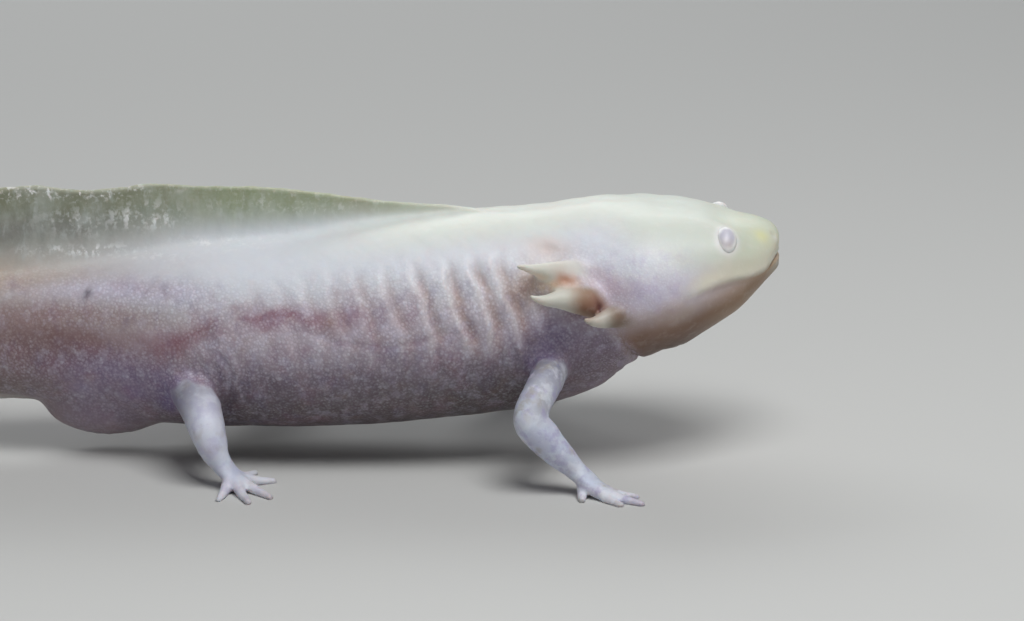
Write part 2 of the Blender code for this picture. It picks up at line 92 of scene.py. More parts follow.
# Legs: x, y, z, half width, half height along each leg; digits as root x, y, z, radius and then x, y, radius on the floor
LEGS = {
    "arm_r": ([(84.0, -8.0, 22.0, 4.2, 4.2), (82.6, -15.5, 19.8, 3.3, 3.5), (80.7, -21.6, 17.2, 3.0, 3.2),
               (79.1, -25.0, 14.6, 3.1, 3.25), (79.3, -26.0, 12.6, 3.25, 3.25), (81.2, -26.4, 10.4, 3.25, 3.15),
               (83.6, -26.6, 7.8, 2.8, 2.65), (86.3, -26.9, 5.0, 2.2, 2.0), (87.4, -27.2, 4.0, 2.1, 1.75),
               (89.2, -28.0, 2.7, 2.3, 1.4), (90.6, -28.7, 1.45, 2.2, 1.15), (91.4, -29.2, 0.8, 1.6, 0.95)],
              [[(88.3, -28.3, 2.4, 1.15), (88.1, -29.9, 0.92), (88.0, -31.8, 0.62)],
               [(90.2, -29.4, 1.8, 1.15), (92.6, -32.0, 0.92), (94.8, -34.4, 0.6)],
               [(90.6, -29.2, 1.8, 1.2), (94.6, -31.6, 0.95), (98.6, -33.9, 0.6)],
               [(90.4, -28.3, 1.8, 1.15), (94.2, -29.2, 0.9), (97.8, -30.1, 0.6)]]),
    "arm_l": ([(84.0, 8.0, 22.0, 4.2, 4.2), (81.1, 15.5, 19.8, 3.3, 3.5), (76.5, 21.4, 17.0, 3.0, 3.2),
               (72.9, 25.2, 14.2, 3.1, 3.25), (71.7, 26.6, 12.2, 3.25, 3.25), (71.9, 27.6, 10.2, 3.25, 3.15),
               (73.0, 28.6, 7.6, 2.8, 2.65), (74.6, 29.3, 5.0, 2.2, 2.0), (75.3, 29.6, 4.0, 2.1, 1.75),
               (76.8, 30.2, 2.7, 2.3, 1.4), (78.0, 30.7, 1.45, 2.2, 1.15), (78.7, 31.0, 0.8, 1.6, 0.95)],
              [[(76.6, 31.2, 2.3, 1.15), (77.0, 33.0, 0.92), (77.4, 34.9, 0.62)],
               [(77.7, 31.3, 1.8, 1.15), (80.4, 33.2, 0.92), (83.0, 34.9, 0.6)],
               [(78.0, 30.9, 1.8, 1.2), (81.9, 31.9, 0.95), (85.6, 32.7, 0.6)],
               [(77.7, 30.1, 1.8, 1.15), (80.9, 29.5, 0.9), (83.8, 28.8, 0.6)]]),
    "leg_r": ([(15.5, -6.5, 19.5, 4.4, 4.6), (17.0, -12.0, 15.9, 4.2, 4.4), (18.9, -16.8, 13.6, 3.8, 3.9),
               (20.3, -20.3, 11.4, 3.4, 3.4), (20.9, -21.6, 9.8, 3.2, 3.2), (21.5, -22.3, 8.2, 2.9, 2.9),
               (22.2, -22.9, 6.2, 2.45, 2.3), (23.2, -23.3, 4.6, 2.2, 1.9), (23.7, -23.5, 3.9, 2.25, 1.7),
               (24.8, -23.8, 2.7, 2.6, 1.4), (25.9, -24.1, 1.45, 2.5, 1.15), (26.6, -24.3, 0.8, 1.8, 0.95)],
              [[(25.0, -22.4, 2.2, 1.1), (26.9, -19.3, 0.88), (28.7, -16.3, 0.58)],
               [(26.2, -23.1, 1.8, 1.15), (29.6, -22.0, 0.92), (32.6, -21.0, 0.58)],
               [(26.4, -24.4, 1.8, 1.2), (29.8, -27.3, 0.92), (32.5, -30.2, 0.58)],
               [(25.8, -25.3, 1.8, 1.15), (27.4, -29.2, 0.9), (28.8, -32.9, 0.58)],
               [(24.8, -25.2, 1.9, 1.1), (24.1, -28.4, 0.88), (23.4, -31.4, 0.56)]]),
    "leg_l": ([(16.0, 6.5, 19.5, 4.4, 4.6), (19.3, 12.0, 16.0, 4.2, 4.4), (23.2, 17.2, 13.9, 3.8, 3.9),
               (26.6, 21.2, 11.7, 3.4, 3.4), (27.9, 23.2, 10.1, 3.2, 3.2), (28.2, 24.6, 8.4, 2.9, 2.9),
               (28.5, 25.9, 6.3, 2.45, 2.3), (29.0, 27.0, 4.7, 2.2, 1.9), (29.4, 27.6, 3.9, 2.25, 1.7),
               (30.1, 28.5, 2.6, 2.6, 1.4), (30.9, 29.3, 1.45, 2.5, 1.15), (31.4, 29.8, 0.8, 1.8, 0.95)],
              [[(30.5, 28.1, 2.2, 1.1), (33.6, 26.4, 0.88), (36.4, 24.7, 0.58)],
               [(31.4, 29.0, 1.8, 1.15), (35.1, 29.2, 0.92), (38.8, 29.4, 0.58)],
               [(31.3, 29.8, 1.8, 1.2), (34.7, 32.0, 0.92), (37.8, 34.1, 0.58)],
               [(30.5, 30.2, 1.8, 1.15), (31.5, 32.7, 0.9), (32.3, 35.0, 0.58)],
               [(29.5, 29.8, 1.9, 1.1), (28.0, 32.1, 0.88), (26.6, 34.3, 0.56)]]),
}


# ------------------------------------------------------------------ curves
def smooth_rows(rows, steps):
    """Points on a Catmull-Rom curve through rows of numbers, steps per interval."""
    rows = [np.array(r, float) for r in rows]
    rows = [2 * rows[0] - rows[1]] + rows + [2 * rows[-1] - rows[-2]]
    out = []
    for i in range(1, len(rows) - 2):
        p0, p1, p2, p3 = rows[i - 1:i + 3]
        for j in range(steps):
            t = j / steps
            out.append(0.5 * (2 * p1 + (p2 - p0) * t + (2 * p0 - 5 * p1 + 4 * p2 - p3) * t * t
                              + (3 * p1 - p0 - 3 * p2 + p3) * t ** 3))
    out.append(rows[-2])
    return np.array(out)


BODY = smooth_rows(SECTIONS, 8)[::-1]
CREST_C = smooth_rows(CREST, 8)[::-1]
KEEL_C = smooth_rows(KEEL, 8)[::-1]
MOUTH_C = smooth_rows(MOUTH, 6)[::-1]


def body_at(x):
    return [np.interp(x, BODY[:, 0], BODY[:, k]) for k in (1, 2, 3)]


def bump(d, width):
    return np.exp(-(d / width) ** 2)


def step(v, low, high):
    t = np.clip((v - low) / (high - low), 0.0, 1.0)
    return t * t * (3 - 2 * t)


def smin(a, b, k):
    h = np.clip(k - np.abs(a - b), 0.0, None) / k
    return np.minimum(a, b) - h * h * h * k / 6.0


def smax(a, b, k):
    return -smin(-a, -b, k)


# ------------------------------------------------------------------ the distance field
def body_field(x, y, z):
    zc, w, h = body_at(x)
    e = 0.5
    z2, w2, h2 = body_at(x + e)
    z1, w1, h1 = body_at(x - e)
    lean = np.minimum(np.sqrt(1 + ((h2 - h1) / (2 * e)) ** 2 * 0.5 + ((w2 - w1) / (2 * e)) ** 2 * 0.5), 5.0)
    dz = z - zc
    n = SECTION_POWER
    r = ((np.abs(y) / w) ** n + (np.abs(dz) / h) ** n) ** (1 / n)
    rho = np.sqrt(y * y + dz * dz)
    d = (rho - rho / np.maximum(r, 1e-4)) / lean
    d = np.where(r < 1e-3, -np.minimum(w, h) / lean, d)
    d = smax(d, x - 124.9, 0.7)
    return smax(d, -119.6 - x, 0.7)


def fin_field(x, y, z):
    zc, w, h = body_at(x)
    crest = np.interp(x, CREST_C[:, 0], CREST_C[:, 1])
    crest = crest + 0.28 * np.sin(x * 0.21 + 0.8) * np.sin(x * 0.067 + 0.4) * step(x, -124.0, -100.0) * step(-x, -62.0, -40.0)
    slope = (np.interp(x + 0.5, CREST_C[:, 0], CREST_C[:, 1]) - np.interp(x - 0.5, CREST_C[:, 0], CREST_C[:, 1]))
    keel = np.interp(x, KEEL_C[:, 0], KEEL_C[:, 1])
    keel = keel + 0.22 * np.sin(x * 0.26 + 2.0) * step(-x, 20.0, 40.0) * step(x, -124.0, -100.0)
    keel = np.where(x > -8.0, np.minimum(np.maximum(keel, 13.0 + (x + 8.0) * 1.2), zc), keel)
    kslope = (np.interp(x + 0.5, KEEL_C[:, 0], KEEL_C[:, 1]) - np.interp(x - 0.5, KEEL_C[:, 0], KEEL_C[:, 1]))
    top = (z - crest) / np.sqrt(1 + slope ** 2)
    low = (keel - z) / np.sqrt(1 + kslope ** 2)
    s = np.clip((z - (zc + h * 0.9)) / np.maximum(crest - (zc + h * 0.9), 0.8), 0.0, 1.0)
    q = np.clip(((zc - h * 0.9) - z) / np.maximum((zc - h * 0.9) - keel, 0.8), 0.0, 1.0)
    far = np.maximum(s, q)
    base = 0.95 * np.minimum(1.0, 0.3 + w / 9.0)
    half = 0.40 + base * (1 - far) ** 1.6
    d = smax(np.abs(y) - half, np.maximum(top, low), 0.55)
    return smax(np.maximum(d, x - 76.0), -125.0 - x, 0.5)


def vent_field(x, y, z):
    v = [(a - c) for a, c in zip((x, y, z), VENT_CENTRE)]
    q = np.sqrt(sum((a / r) ** 2 for a, r in zip(v, VENT_RADII)))
    rho = np.sqrt(sum(a * a for a in v))
    return rho - rho / np.maximum(q, 1e-4)


def chain_field(rows, steps=3):
    """A tapering limb through rows of x, y, z, half width, half height: returns its field and its box."""
    rows = [r if len(r) == 5 else (*r, r[3]) for r in rows]
    pts = smooth_rows(rows, steps)

    def field(x, y, z):
        best = None
        for a, b in zip(pts[:-1], pts[1:]):
            ab = b[:3] - a[:3]
            length2 = float(ab @ ab)
            tan = ab / math.sqrt(length2)
            side = np.cross(tan, (0, 0, 1.0))
            side /= np.linalg.norm(side)
            up = np.cross(side, tan)
            vx, vy, vz = x - a[0], y - a[1], z - a[2]
            t = np.clip((vx * ab[0] + vy * ab[1] + vz * ab[2]) / length2, 0.0, 1.0)
            vx, vy, vz = vx - t * ab[0], vy - t * ab[1], vz - t * ab[2]
            rs, ru = a[3] + t * (b[3] - a[3]), a[4] + t * (b[4] - a[4])
            s = vx * side[0] + vy * side[1] + vz * side[2]
            u = vx * up[0] + vy * up[1] + vz * up[2]
            f = vx * tan[0] + vy * tan[1] + vz * tan[2]
            q = np.sqrt((s / rs) ** 2 + (u / ru) ** 2 + (f / np.minimum(rs, ru)) ** 2)
            rho = np.sqrt(s * s + u * u + f * f)
            d = rho - rho / np.maximum(q, 1e-4)
            d = np.where(q < 1e-3, -np.minimum(rs, ru), d)
            best = d if best is None else np.minimum(best, d)
        return best

    grow = pts[:, 3:].max(1)[:, None] + 4.0
    return field, (pts[:, :3] - grow).min(0), (pts[:, :3] + grow).max(0)


def leg_shape(path, digits):
    limb, low, high = chain_field(path)
    toes = []
    for d in digits:
        rows = [d[0]] + [(px, py, r - SOLE, r) for px, py, r in d[1:]]
        f, lo, hi = chain_field(rows, 2)
        toes.append(f)
        low, high = np.minimum(low, lo), np.maximum(high, hi)

    def field(x, y, z):
        d = limb(x, y, z)
        for f in toes:
            d = smin(d, f(x, y, z), 0.9)
        return d
    return field, low, high


def in_box(arrays, low, high):
    return np.logical_and.reduce([(a > lo) & (a < hi) for a, lo, hi in zip(arrays, low, high)])


SHAPES = [("fin", fin_field, (-130, -8, -5), (78, 8, 60), 3.0), ("vent", vent_field, (-18, -14, -4), (18, 14, 24), 3.0)]
for name, rows in LEGS.items():
    f, lo, hi = leg_shape(*rows)
    SHAPES.append((name, f, lo, hi, 2.0))
for side in (-1, 1):
    for level, rows in GILLS.items():
        f, lo, hi = chain_field([(a, side * b, c, r) for a, b, c, r in rows], 3)
        SHAPES.append((f"gill_{level}_{side}", f, lo, hi, GILL_SOFT[level]))
    for rows in WEBS:
        f, lo, hi = chain_field([(a, side * b, c, r) for a, b, c, r in rows], 3)
        SHAPES.append((f"gill_web_{side}", f, lo, hi, 2.2))


def softness(k, x):
    """How wide a shape blends into the rest: one number, or a change from one to another along the body."""
    return k if isinstance(k, float) else k[2] + (k[3] - k[2]) * step(x, k[0], k[1])


def bend(x):
    """How far the grid's level 36 moves up or down to follow the mouth."""
    return (np.interp(x, MOUTH_C[:, 0], MOUTH_C[:, 1]) - MOUTH_LEVEL) * step(x, 100.5, 107.0)


def bent(level):
    return step(-np.abs(level - MOUTH_LEVEL), -9.0, -0.5)


def field_grid(ax, ay, az):
    up = (bend(ax)[:, None] * bent(az)[None, :] + az[None, :])[:, None, :]
    total = body_field(ax[:, None, None], ay[None, :, None], up).astype(np.float32)
    for name, f, lo, hi, k in SHAPES:
        sl = [slice(int(np.searchsorted(a, l)), int(np.searchsorted(a, h))) for a, l, h in zip((ax, ay, az), lo, hi)]
        part = f(ax[sl[0], None, None], ay[None, sl[1], None], up[sl[0], :, sl[2]])
        total[tuple(sl)] = smin(total[tuple(sl)], part, softness(k, ax[sl[0], None, None]))
    return total


def field_points(p):
    x, y, z = p[:, 0], p[:, 1], p[:, 2]
    total = body_field(x, y, z)
    for name, f, lo, hi, k in SHAPES:
        m = in_box((x, y, z), lo, hi)
        total[m] = smin(total[m], f(x[m], y[m], z[m]), softness(k, x[m]))
    return total


def gradient(p, e=0.05):
    g = np.empty_like(p)
    for k in range(3):
        d = np.zeros(3)
        d[k] = e
        g[:, k] = (field_points(p + d) - field_points(p - d)) / (2 * e)
    return g


# ------------------------------------------------------------------ meshing
def runs(*parts):
    out = []
    for start, end, size in parts:
        n = max(1, round((end - start) / size))
        out.extend(np.linspace(start, end, n, endpoint=False))
    out.append(parts[-1][1])
    return np.array(out)


def settle(F):
    """Fills the few cells in which two sheets of the surface would touch at an edge or a point, so the mesh stays closed."""
    low = np.float32(-0.02)
    for _ in range(6):
        S = F < 0
        found = 0
        for axis in range(3):
            u, v = [k for k in range(3) if k != axis]

            def part(array, du, dv):
                sl = [slice(None)] * 3
                sl[u] = slice(du, array.shape[u] - 1 + du)
                sl[v] = slice(dv, array.shape[v] - 1 + dv)
                return array[tuple(sl)]
            a, b, c, d = part(S, 0, 0), part(S, 1, 0), part(S, 0, 1), part(S, 1, 1)
            where = np.nonzero((a == d) & (b == c) & (a != b))
            for at in zip(*where):
                at = list(at)
                pair = [(1, 0), (0, 1)] if S[tuple(at)] else [(0, 0), (1, 1)]
                spots = []
                for du, dv in pair:
                    q = list(at)
                    q[u] += du
                    q[v] += dv
                    spots.append(tuple(q))
                F[min(spots, key=lambda q: F[q])] = low
                found += 1
        S = F < 0
        for one, two in (((0, 0, 0), (1, 1, 1)), ((1, 0, 0), (0, 1, 1)), ((0, 1, 0), (1, 0, 1)), ((0, 0, 1), (1, 1, 0))):
            def cell(c):
                return S[c[0]:S.shape[0] - 1 + c[0], c[1]:S.shape[1] - 1 + c[1], c[2]:S.shape[2] - 1 + c[2]]
            count = sum(cell((i, j, k)).astype(np.uint8) for i in (0, 1) for j in (0, 1) for k in (0, 1))
            twin = (cell(one) == cell(two)) & (((count == 2) & cell(one)) | ((count == 6) & ~cell(one)))
            for at in zip(*np.nonzero(twin)):
                spots = [tuple(p + q for p, q in zip(at, c)) for c in [(i, j, k) for i in (0, 1) for j in (0, 1) for k in (0, 1)]]
                spots = [q for q in spots if not S[q]]
                F[min(spots, key=lambda q: F[q])] = low
                found += 1
        if not found:
            break
    return F


def surface_net(F, ax, ay, az):
    """Quads of the zero surface: one vertex in each cell it crosses."""
    S = F < 0
    count = sum(S[i:S.shape[0] - 1 + i, j:S.shape[1] - 1 + j, k:S.shape[2] - 1 + k].astype(np.uint8)
                for i in (0, 1) for j in (0, 1) for k in (0, 1))
    active = (count > 0) & (count < 8)
    I, J, K = np.nonzero(active)
    index = np.full(active.shape, -1, np.int32)
    index[active] = np.arange(len(I))
    pos = np.zeros((len(I), 3))
    hits = np.zeros(len(I))
    corners = [(i, j, k) for i in (0, 1) for j in (0, 1) for k in (0, 1)]
    for a in corners:
        for b in corners:
            if sum(abs(p - q) for p, q in zip(a, b)) != 1 or a > b:
                continue
            fa, fb = F[I + a[0], J + a[1], K + a[2]], F[I + b[0], J + b[1], K + b[2]]
            m = (fa < 0) != (fb < 0)
            t = np.where(m, fa / np.where(m, fa - fb, 1.0), 0.0)
            pa = np.stack([ax[I + a[0]], ay[J + a[1]], az[K + a[2]]], 1)
            pb = np.stack([ax[I + b[0]], ay[J + b[1]], az[K + b[2]]], 1)
            for q in (pa, pb):
                q[:, 2] += bend(q[:, 0]) * bent(q[:, 2])
            pos += np.where(m[:, None], pa + t[:, None] * (pb - pa), 0.0)
            hits += m
    pos /= hits[:, None]
    quads = []
    for axis in range(3):
        lo = [slice(None)] * 3
        hi = [slice(None)] * 3
        lo[axis], hi[axis] = slice(0, -1), slice(1, None)
        change = S[tuple(lo)] != S[tuple(hi)]
        I, J, K = np.nonzero(change)
        c = [I, J, K]
        u, v = [k for k in range(3) if k != axis]
        ok = (c[u] > 0) & (c[v] > 0) & (c[u] < S.shape[u] - 1) & (c[v] < S.shape[v] - 1)
        c = [q[ok] for q in c]
        inside = S[tuple(c)]
        cells = []
        for du, dv in ((-1, -1), (0, -1), (0, 0), (-1, 0)):
            q = list(c)
            q[u] = c[u] + du
            q[v] = c[v] + dv
            cells.append(index[tuple(q)])
        quad = np.stack(cells, 1)
        flip = inside if axis != 1 else ~inside
        quad[~flip] = quad[~flip][:, ::-1]
        quads.append(quad)
    return pos, np.concatenate(quads)


def neighbours(quads, count):
    e = np.concatenate([quads[:, [0, 1]], quads[:, [1, 2]], quads[:, [2, 3]], quads[:, [3, 0]]])
    e = np.unique(np.sort(e, 1), axis=0)
    a = np.concatenate([e[:, 0], e[:, 1]])
    b = np.concatenate([e[:, 1], e[:, 0]])
    return a, b, np.maximum(np.bincount(a, minlength=count), 1)


def average(values, links):
    a, b, n = links
    return np.stack([np.bincount(a, values[b, k], minlength=len(n)) / n for k in range(values.shape[1])], 1)


COARSE = 1.0
ax = runs((-128.5, -20.0, 1.25 * COARSE), (-20.0, 30.0, 0.80 * COARSE), (30.0, 50.0, 0.62 * COARSE), (50.0, 84.0, 0.50 * COARSE),
          (84.0, 101.0, 0.52 * COARSE), (101.0, 127.0, 0.42 * COARSE))
half = runs((0.0, 1.8, 0.30), (1.8, 6.0, 0.50 * COARSE), (6.0, 37.0, 0.64 * COARSE))
ay = np.concatenate([-half[:0:-1], half])
az = runs((-1.3, 4.5, 0.44 * COARSE), (4.5, 34.2, 0.64 * COARSE), (34.2, 36.6, 0.26 * COARSE), (36.6, 45.0, 0.54 * COARSE), (45.0, 52.5, 0.66 * COARSE))
grid = settle(field_grid(ax, ay, az))
P, QUADS = surface_net(grid, ax, ay, az)
LINKS = neighbours(QUADS, len(P))


def project(p, times):
    for _ in range(times):
        f = field_points(p)
        g = gradient(p)
        move = g * (f / np.maximum((g * g).sum(1), 0.2))[:, None]
        size = np.linalg.norm(move, axis=1, keepdims=True)
        p = p - move * np.minimum(1.0, 0.6 / np.maximum(size, 1e-9))
    return p


for _ in range(2):
    P = project(P, 1)
    N = gradient(P)
    N /= np.maximum(np.linalg.norm(N, axis=1, keepdims=True), 1e-9)
    pull = average(P, LINKS) - P
    pull -= N * (pull * N).sum(1, keepdims=True)
    P = P + 0.6 * pull
P = project(P, 1)
N = gradient(P)
N /= np.maximum(np.linalg.norm(N, axis=1, keepdims=True), 1e-9)
print("skin", len(P), "vertices", len(QUADS), "quads")


# ------------------------------------------------------------------ masks (0 to 1) that say where on the animal a point is
def part_masks(p):
    x, y, z = p.T
    zc, w, h = body_at(x)
    m = {"v": (z - zc) / h, "zc": zc, "w": w, "h": h}
    body_d = body_field(x, y, z)
    crest = np.interp(x, CREST_C[:, 0], CREST_C[:, 1])
    top, low = zc + h, zc - h
    m["fin_s"] = np.clip((z - top) / np.maximum(crest - top, 0.6), -1, 1)
    up = step(z - top, -3.4, 6.4) * step(-x, -74.0, -58.0)
    down = step(low - z, -3.4, 2.6) * step(-x, 9.0, 22.0)
    thin = step(-np.abs(y), -5.5, -2.0)
    m["fin"] = np.maximum(up, down) * np.maximum(thin, step(-x, 60.0, 90.0))
    m["fin_low"] = down
    m["leg"] = np.zeros(len(p))
    m["digit"] = np.zeros(len(p))
    for name, (path, digits) in LEGS.items():
        f, lo, hi = chain_field(path)
        inb = in_box((x, y, z), lo - 6, hi + 6)
        d = f(x[inb], y[inb], z[inb])
        edge = 0.35 * np.sin(x[inb] * 1.3 + z[inb])
        on = step(body_d[inb] + edge, 1.5, 2.9) * step(-d, -9.0, -4.0)
        m["leg"][inb] = np.maximum(m["leg"][inb], on)
        m["digit"][inb] = np.maximum(m["digit"][inb], step(-z[inb], -3.2, -1.4) * step(body_d[inb], 3.0, 5.0))
    # shoulders and hips: how close a point on the body is to where a leg leaves it
    m["root"] = np.zeros(len(p))
    for name, (path, _) in LEGS.items():
        side = np.sign(path[1][1])
        c, reach = (((82.6, 17.0, 22.6), (5.4, 9.0, 6.4)) if name.startswith("arm") else ((14.6, 14.5, 15.6), (6.2, 9.0, 4.6)))
        q = np.sqrt((((p - np.array((c[0] + path[1][0] - (82.6 if name.startswith("arm") else 17.0), side * c[1], c[2]))) / reach) ** 2).sum(1))
        m["root"] = np.maximum(m["root"], step(-q, -1.35, -0.40))
    m["gill"] = np.zeros(len(p))
    for side in (-1, 1):
        for level, rows in GILLS.items():
            f, lo, hi = chain_field([(a, side * b, c, r) for a, b, c, r in rows], 3)
            inb = in_box((x, y, z), lo, hi)
            on = step(body_d[inb], 0.2, 2.0) * step(-f(x[inb], y[inb], z[inb]), -1.2, -0.2)
            m["gill"][inb] = np.maximum(m["gill"][inb], on)
            m.setdefault("gill_" + level, np.zeros(len(p)))[inb] += on
    m["body_d"] = body_d
    m["body"] = (1 - m["leg"]) * (1 - m["gill"]) * (1 - m["fin"])
    return m


def near_line(p, line, mirror=True):
    """Distance to a polyline of x, y, z points, on both sides of the animal."""
    q = p.copy()
    if mirror:
        q[:, 1] = np.abs(q[:, 1])
    line = np.array(line, float)
    best = np.full(len(p), 99.0)
    for a, b in zip(line[:-1], line[1:]):
        ab = b - a
        t = np.clip(((q - a) @ ab) / (ab @ ab), 0, 1)
        best = np.minimum(best, np.linalg.norm(q - a - t[:, None] * ab, axis=1))
    return best


def near_flat(p, line):
    """How far a point is from a line drawn on the flank, along the body and up: nearest of its segments."""
    q = p[:, [0, 2]]
    best, out = np.full(len(p), np.inf), np.zeros((2, len(p)))
    for a, b in zip(line[:-1], line[1:]):
        a, b = np.array((a[0], a[2]), float), np.array((b[0], b[2]), float)
        ab = b - a
        t = np.clip(((q - a) @ ab) / (ab @ ab), 0, 1)
        off = q - a - t[:, None] * ab
        r = np.hypot(off[:, 0], off[:, 1])
        out = np.where(r < best, off.T, out)
        best = np.minimum(best, r)
    return out


def spot(x, z, cx, cz, rx, rz, turn=0.0):
    """A soft ellipse seen from the side, 1 at its middle."""
    a = math.radians(turn)
    u, v = x - cx, z - cz
    return np.exp(-((u * math.cos(a) + v * math.sin(a)) / rx) ** 2 - ((v * math.cos(a) - u * math.sin(a)) / rz) ** 2)


def wobble(p, size, seed):
    """A slow smooth pattern from sines, between -1 and 1."""
    x, y, z = (p / size).T
    return (np.sin(x * 1.3 + 1.9 * np.sin(z * 0.9 + seed) + seed) * np.sin(z * 1.7 + 1.1 * np.sin(y * 1.2 + x * 0.6) + 2 * seed)
            + 0.5 * np.sin(x * 2.9 + z * 2.3 + 1.5 * np.sin(y * 1.9 + seed))) / 1.5


# ------------------------------------------------------------------ relief: folds, mouth, clefts, moved along the surface's normal
# costal grooves: place of each at z 33, depth, and how far down it leans
FOLDS = [(79.6, 0.40, 24.0), (74.9, 1.0, 19.0), (70.4, 1.0, 27.0), (65.2, 0.92, 26.0), (59.4, 0.66, 26.0), (53.6, 0.46, 26.0),
         (48.2, 0.36, 25.0), (43.3, 0.30, 25.0), (38.4, 0.25, 25.0), (33.5, 0.20, 25.0), (28.6, 0.17, 25.0), (23.7, 0.14, 25.0)]
CLEFTS = [([(84.4, 17.9, 37.4), (85.3, 18.0, 37.0), (86.0, 17.8, 36.5)], 0.35, 0.75),
          ([(90.3, 18.0, 33.2), (91.1, 18.4, 32.4), (91.3, 18.4, 31.6)], 1.10, 0.60)]
EYE_OUT = Vector((0.14, 0.68, 0.72)).normalized()
EYE_UP = (Vector((0.06, -0.72, 0.69)) - EYE_OUT * Vector((0.06, -0.72, 0.69)).dot(EYE_OUT)).normalized()
EYE_FORE = EYE_UP.cross(EYE_OUT).normalized()
EYE_RADII = (2.06, 2.96, 1.62)


def eye_frame(p, side):
    """A point's place round the eye: across, up and out, in parts of the eye's radii."""
    q = (p - np.array((EYE[0], side * EYE[1], EYE[2]))) * np.array((1, side, 1))
    return [q @ np.array(axis) / r for axis, r in zip((EYE_FORE, EYE_UP, EYE_OUT), EYE_RADII)]


def fold_place(x, z, centre, low):
    """Distance along the body from a costal groove, which leans forward going down and then runs straight."""
    lean = -0.36 * (np.clip(z, low, 60.0) - 33.0)
    return x - (centre + lean + 0.30 * np.sin(z * 0.42 + centre * 1.7) + 0.14 * np.sin(z * 1.1 + centre))


